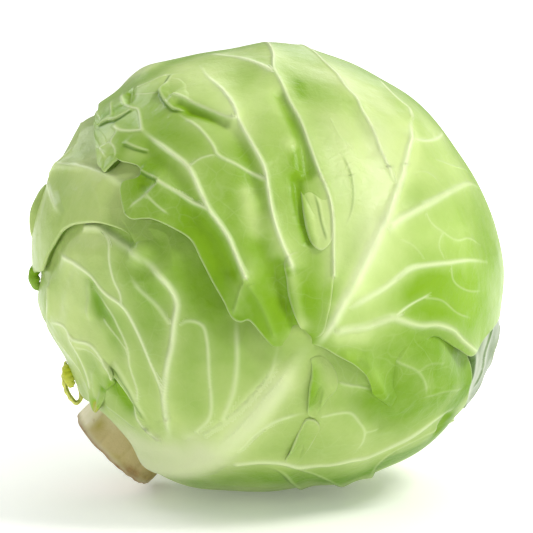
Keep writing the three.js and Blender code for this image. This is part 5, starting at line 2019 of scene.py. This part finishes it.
@dataclass
class Stump:
    """The cut stem: a short stub with a rough rim, streaks down its wall and a root inside the head.

    Args:
        radius: of the cut.
        sides: how many corners each of its rings has.
        dish: how deep the cut's middle lies, and how far its edge stands up from there.
    """

    radius: float = 17.8
    sides: int = 220
    dish: tuple[float, float] = (0.9, 0.8)

    # shares of the radius between which the cut has rings, and their number
    FACE = (0.04, 0.955, 34)
    # the rounded rim: shares of the radius, and places along the axis
    RIM = ((0.985, -0.15), (1.0, -0.55), (1.002, -1.1))
    # how far back the wall's rings start and end, their number, and how much it narrows on the way
    WALL = (1.8, 26, 46)
    TAPER = 0.02
    # the part inside the head: radii, and places along the axis, the last one its closed end
    ROOT = ((13.5, -32.0), (11.5, -42.0), (7.0, -56.0), (2.5, -66.0))
    END = (0.0, -70.0)
    # what its draws start from
    SEED = 11
    # lobes of its rings, streaks down its wall and marks of the blade on its cut: the least and greatest
    # height of one, and the numbers of waves of each
    LOBES = (0.2, 0.5, (2, 3, 5, 7))
    STREAKS = (0.05, 0.12, (17, 23, 31, 44))
    BLADE_MARKS = (0.04, 0.1, (5, 9, 14))
    # distances back from the cut between which its wall sets in
    WALL_START = (0.3, 3)
    # the brown spot low on the right of the rim: strength, angle, place along, and their half-widths
    SPOT = (1.3, -0.65, -2.2, 0.22, 1.8)

    def rings(self) -> list[Place]:
        """Returns each ring's radius and its place along the axis, from the cut's middle back."""
        low, rise = self.dish
        face = [(self.radius * share, -low + rise * share**2) for share in np.linspace(*self.FACE)]
        rim = [(self.radius * share, along) for share, along in self.RIM]
        wall = [(self.radius - self.TAPER * back, -back) for back in np.linspace(*self.WALL)]
        return [(0.0, -low), *face, *rim, *wall, *self.ROOT, self.END]

    def build(self, material: bpy.types.Material) -> None:
        """Makes the stump.

        Args:
            material: its skin.
        """
        rings = np.array(self.rings())
        piece = add_primitive(bpy.ops.mesh.primitive_circle_add, "cut_stump", vertices=self.sides,
                              radius=1, fill_type="NOTHING")
        bpy.ops.object.mode_set(mode="EDIT")
        bpy.ops.mesh.select_mode(type="EDGE")
        bpy.ops.mesh.select_all(action="SELECT")
        for _ in rings[1:-1]:
            bpy.ops.mesh.extrude_edges_move(TRANSFORM_OT_translate={"value": (0, 0, -1)})
        bpy.ops.mesh.merge(type="CENTER")
        bpy.ops.mesh.select_all(action="DESELECT")
        bpy.ops.object.mode_set(mode="OBJECT")
        for vertex in piece.data.vertices:
            vertex.select = vertex.co.z > -0.5
        bpy.ops.object.mode_set(mode="EDIT")
        bpy.ops.mesh.select_mode(type="VERT")
        bpy.ops.mesh.merge(type="CENTER")
        bpy.ops.object.mode_set(mode="OBJECT")
        pattern = read_places(piece)
        rank = np.rint(-pattern[:, 2]).astype(int)
        radius, along = rings[np.minimum(rank, len(rings) - 1)].T
        places, masks = self.shape(radius, along, np.arctan2(pattern[:, 1], pattern[:, 0]))
        write_places(piece, places)
        write_masks(piece, masks)
        dress(piece, material, "stem", "stem")

    @staticmethod
    def ripple(draw: np.random.Generator, waves: tuple[float, float, tuple[int, ...]], place: Vectors,
               offset: Any = 0) -> Vectors:
        """Adds up random waves.

        Args:
            draw: where their heights and starts come from.
            waves: the least and greatest height of one, and the numbers of waves of each.
            place: where along them, in radians of a single wave.
            offset: what is added to that for each of them.

        Returns:
            The sum at each place.
        """
        low, high, counts = waves
        return sum(draw.uniform(low, high) * np.sin(k * place + draw.uniform(0, 6) + offset) for k in counts)

    def shape(self, radius: Vectors, along: Vectors, turn: Vectors) -> tuple[Vectors, Vectors]:
        """Roughens the stump and places it.

        Args:
            radius: each vertex's distance from the axis.
            along: its place along the axis from the cut, negative into the head.
            turn: its angle round the axis.

        Returns:
            The places, and masks for bruises, pared skin with painted light on the upper side, distance from
            the axis and wall.
        """
        draw = np.random.default_rng(self.SEED)
        wall = smoothstep(-along, *self.WALL_START)
        lobes = self.ripple(draw, self.LOBES, turn)
        streaks = self.ripple(draw, self.STREAKS, turn, along / 9)
        share = np.clip(radius / self.radius, 0, 1.1)
        out = radius + share * (0.5 * lobes + wall * streaks)
        lift = along + (1 - wall) * self.ripple(draw, self.BLADE_MARKS, out * np.cos(turn - 0.7) / 9)
        axis = HEAD.stem_axis
        side = unit(np.cross(axis, HEAD.axes[2]))
        front = np.cross(side, axis)
        middle = HEAD.centre + HEAD.from_view(HEAD.cut_end)
        places = middle + lift[:, None] * axis + out[:, None] * around(turn, front, side)
        bruise = np.exp(-((along + 0.3) / 0.8) ** 2) * smoothstep(share, 0.9, 0.99)
        low_end = smoothstep(-np.sin(turn), 0.2, 0.95) * wall
        bruise = np.maximum(bruise, low_end * np.exp(along / 3.5))
        strength, angle, back, wide, long = self.SPOT
        spot = strength * np.exp(-(((turn - angle) / wide) ** 2) - ((along - back) / long) ** 2)
        bruise = np.maximum(bruise, spot)
        # pared skin on the upper side and further back, paled as painted light
        pared_and_lit = smoothstep(np.sin(turn), 0.5, 0.8) * wall
        pared_and_lit = np.maximum(pared_and_lit, 0.55 * smoothstep(-along, 6, 12) * smoothstep(np.sin(turn), 0.0, 0.5))
        masks = np.stack([bruise, pared_and_lit, share, wall], axis=1)
        return places, np.clip(masks, 0, 1)


@dataclass(frozen=True)
class StumpFinish:
    """The dry fibrous skin and cut of the stem.

    Args:
        skin: the colour of its dry skin.
        olive: the colour of that skin's blotches.
        cut: the colour of the cut face.
        bruise: the colour of its bruises and flecks.
        pared_and_lit: the colour where it was pared, paled past that skin's own colour as painted light.
        roughness: of the skin between its grains.
    """

    skin: str = "cab884"
    olive: str = "b0a14a"
    cut: str = "d6cfae"
    bruise: str = "8f5f22"
    pared_and_lit: str = "f4eace"
    roughness: float = 0.62

    # millimetres across its blotches, grain and flecks
    SIZES = (14, 1.4, 3.5)
    # how closely the cut's rings follow each other, and how far flecks bend them
    RINGS = (46.0, 5.0)
    # metres that the bump stands out, and that light runs under the skin: red, green and blue
    BUMP = 0.0008
    GLOW = (0.002, 0.0015, 0.001)

    def material(self) -> bpy.types.Material:
        """Makes the material."""
        nodes = Nodes("stump_skin")
        bruise, pared_and_lit, share, wall = nodes.attribute(MASKS)
        place = nodes.add("ShaderNodeTexCoord", {}, {}, "Object")
        blotch = nodes.noise(place, self.SIZES[0], 4)
        grain = nodes.noise(place, self.SIZES[1], 4, 0.6)
        fleck = nodes.noise(place, self.SIZES[2], 3, 0.65)
        skin = nodes.mix(blotch.rise(0.4, 0.66), colour(self.skin), colour(self.olive))
        waved = share * self.RINGS[0] + fleck * self.RINGS[1]
        rings = nodes.add("ShaderNodeMath", {"operation": "SINE"}, {0: waved})
        face = nodes.mix(rings.rise(0.2, 1) * 0.35, colour(self.cut), colour(self.skin))
        # painted light: pales the pared upper side past the skin's own colour
        skin = nodes.mix(pared_and_lit, skin, colour(self.pared_and_lit))
        base = nodes.mix(wall, face, skin)
        base = nodes.mix(bruise * (fleck + 0.25), base, colour(self.bruise))
        base = nodes.mix(fleck.rise(0.62, 0.76) * 0.3, base, colour(self.bruise))
        bump = nodes.bump(grain * 0.6 + fleck * 0.7, self.BUMP)
        return nodes.finish(
            Base_Color=base, Roughness=self.roughness + (grain - 0.5) * 0.2, Normal=bump,
            Subsurface_Weight=0.06, Subsurface_Radius=self.GLOW, Subsurface_Scale=1.0)


def put_in_scene(data: Any, place: Vectors, axes: Iterable[Vectors]) -> bpy.types.Object:
    """Adds a camera or a lamp.

    Args:
        data: its own values.
        place: where it stands, in metres.
        axes: where its right, up and back point.

    Returns:
        The object.
    """
    item = bpy.data.objects.new(data.name, data)
    bpy.context.scene.collection.objects.link(item)
    turn = Matrix([list(axis) for axis in axes]).transposed().to_4x4()
    item.matrix_world = Matrix.Translation(place) @ turn
    return item


@dataclass
class Studio:
    """The pale floor, the soft light and the camera at the photograph's view.

    Args:
        sensor: the camera's sensor width.
        image: the photograph's width in pixels.
        room: the room's light at its darkest and brightest.
        bright_side: where the room is brightest: right, up and near.
        glow: the light of the floor far from the head.
        floor_size: its side, in metres.
        floor_gap: how far it lies below the surface that the head rests on, in metres.
        lamps: each lamp's name, place, size, power and tint, as light takes them.
    """

    sensor: float = 36.0
    image: float = 533.0
    room: tuple[float, float] = (0.06, 0.6)
    bright_side: tuple[float, float, float] = (0.6, 0.8, 0.1)
    glow: float = 0.8
    floor_size: float = 14
    floor_gap: float = 0.0004
    lamps: Sequence[tuple[str, Place, float, float, str]] = (
        ("key", (0.85, 0.95, 0.5), 0.36, 10.8, "fffdf6"),
        ("fill", (-0.75, 0.3, 1.1), 0.8, 1.9, "f8faff"),
        ("back", (0.3, 0.9, -0.9), 0.8, 4.0, "ffffff"),
        ("rim", (-0.8, 0.75, -0.6), 0.5, 4.0, "f8faff"))

    def camera(self) -> None:
        """Puts the camera where the photograph was taken from."""
        data = bpy.data.cameras.new("camera")
        data.sensor_width = self.sensor
        data.lens = self.sensor * HEAD.view_distance / (self.image * HEAD.pixel)
        aside = HEAD.aside(self.image / 2, self.image / 2)
        place = HEAD.centre + HEAD.from_view([*aside, HEAD.view_distance])
        bpy.context.scene.camera = put_in_scene(data, place * MM, HEAD.axes)

    def light(self, name: str, place: Sequence[float], size: float, power: float, tint: str) -> None:
        """Adds a soft square light that faces the head.

        Args:
            name: its name.
            place: right, up and near from the head's centre, in metres.
            size: its side, in metres.
            power: in watts.
            tint: its colour.
        """
        data = bpy.data.lights.new(name, "AREA")
        data.shape = "SQUARE"
        data.size = size
        data.energy = power
        data.color = colour(tint)[:3]
        offset = HEAD.from_view(place)
        back = unit(offset)
        side = unit(np.cross([0, 0, 1.0], back))
        put_in_scene(data, HEAD.centre * MM + offset, (side, np.cross(back, side), back))

    def floor(self) -> None:
        """Adds the floor: white paper that glows more and more away from the head."""
        plane = add_primitive(bpy.ops.mesh.primitive_plane_add, "floor", size=self.floor_size,
                              location=(0, 0, -self.floor_gap))
        nodes = Nodes("floor_paper")
        place = nodes.add("ShaderNodeTexCoord", {}, {}, "Object")
        tint = nodes.mix(nodes.noise(place, 400, 2), colour("f4f4f4"), colour("f8f8f8"))
        away = nodes.add("ShaderNodeVectorMath", {"operation": "LENGTH"}, {0: place}, "Value")
        glow = nodes.mix(away.rise(-0.1, 0.45), (0.1, 0.1, 0.1, 1), (1, 1, 1, 1))
        plane.data.materials.append(nodes.finish(Base_Color=tint, Roughness=0.9, Emission_Color=glow,
                                                 Emission_Strength=self.glow))

    def world(self) -> None:
        """Lights the room evenly from above and the right, and less from the left and the front."""
        world = bpy.data.worlds.new("studio")
        world.use_nodes = True
        tree = world.node_tree
        ways = tree.nodes.new("ShaderNodeTexCoord")
        facing = tree.nodes.new("ShaderNodeVectorMath")
        facing.operation = "DOT_PRODUCT"
        facing.inputs[1].default_value = unit(HEAD.from_view(self.bright_side))
        tree.links.new(ways.outputs["Generated"], facing.inputs[0])
        spread = tree.nodes.new("ShaderNodeMapRange")
        spread.interpolation_type = "SMOOTHSTEP"
        for socket, value in zip(spread.inputs[1:5], (-1.0, 1.0, *self.room)):
            socket.default_value = value
        tree.links.new(facing.outputs["Value"], spread.inputs[0])
        tree.links.new(spread.outputs[0], tree.nodes["Background"].inputs["Strength"])
        tree.nodes["Background"].inputs["Color"].default_value = (1, 1, 1, 1)
        bpy.context.scene.world = world

    def build(self) -> None:
        """Sets up the camera, lights, floor and world."""
        self.camera()
        self.floor()
        self.world()
        for lamp in self.lamps:
            self.light(*lamp)
        bpy.context.scene.view_settings.view_transform = "Standard"


def write_sizes() -> None:
    """Brings the scene's transforms up to date."""
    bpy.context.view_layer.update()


def main() -> None:
    """Builds the cabbage and its setting."""
    logging.basicConfig(level=logging.INFO, format="%(message)s")
    Studio().build()
    skin = LeafFinish().material()
    front = FrontLeaf()
    front.build(skin)
    covers = list(zip(front.outlines, (PRESS_UNDER_LOWER, PRESS_UNDER_UPPER)))
    over = [*front.sheets, front.far_leaf()]
    for sizes in WRAPPED:
        leaf = WrappedLeaf(*sizes, covers=tuple(covers), over=tuple(over))
        leaf.build(skin)
        covers.append((leaf.outline, PRESS_UNDER_LEAF))
        over.append(leaf.sheet)
    for curl in CURLS:
        curl.build(skin)
    olive = LeafFinish("olive_edge", "e6e886", "b4c016", "e6e680", "bcc41c", net=0.0).material()
    for curl in OLIVE_CURLS:
        curl.build(olive)
    Stump().build(StumpFinish().material())
    Heart().build(LeafFinish("heart_skin", cool_pale="cfe0a0", cool_rich="b9cf7a").material())
    write_sizes()


if __name__ == "__main__":
    main()
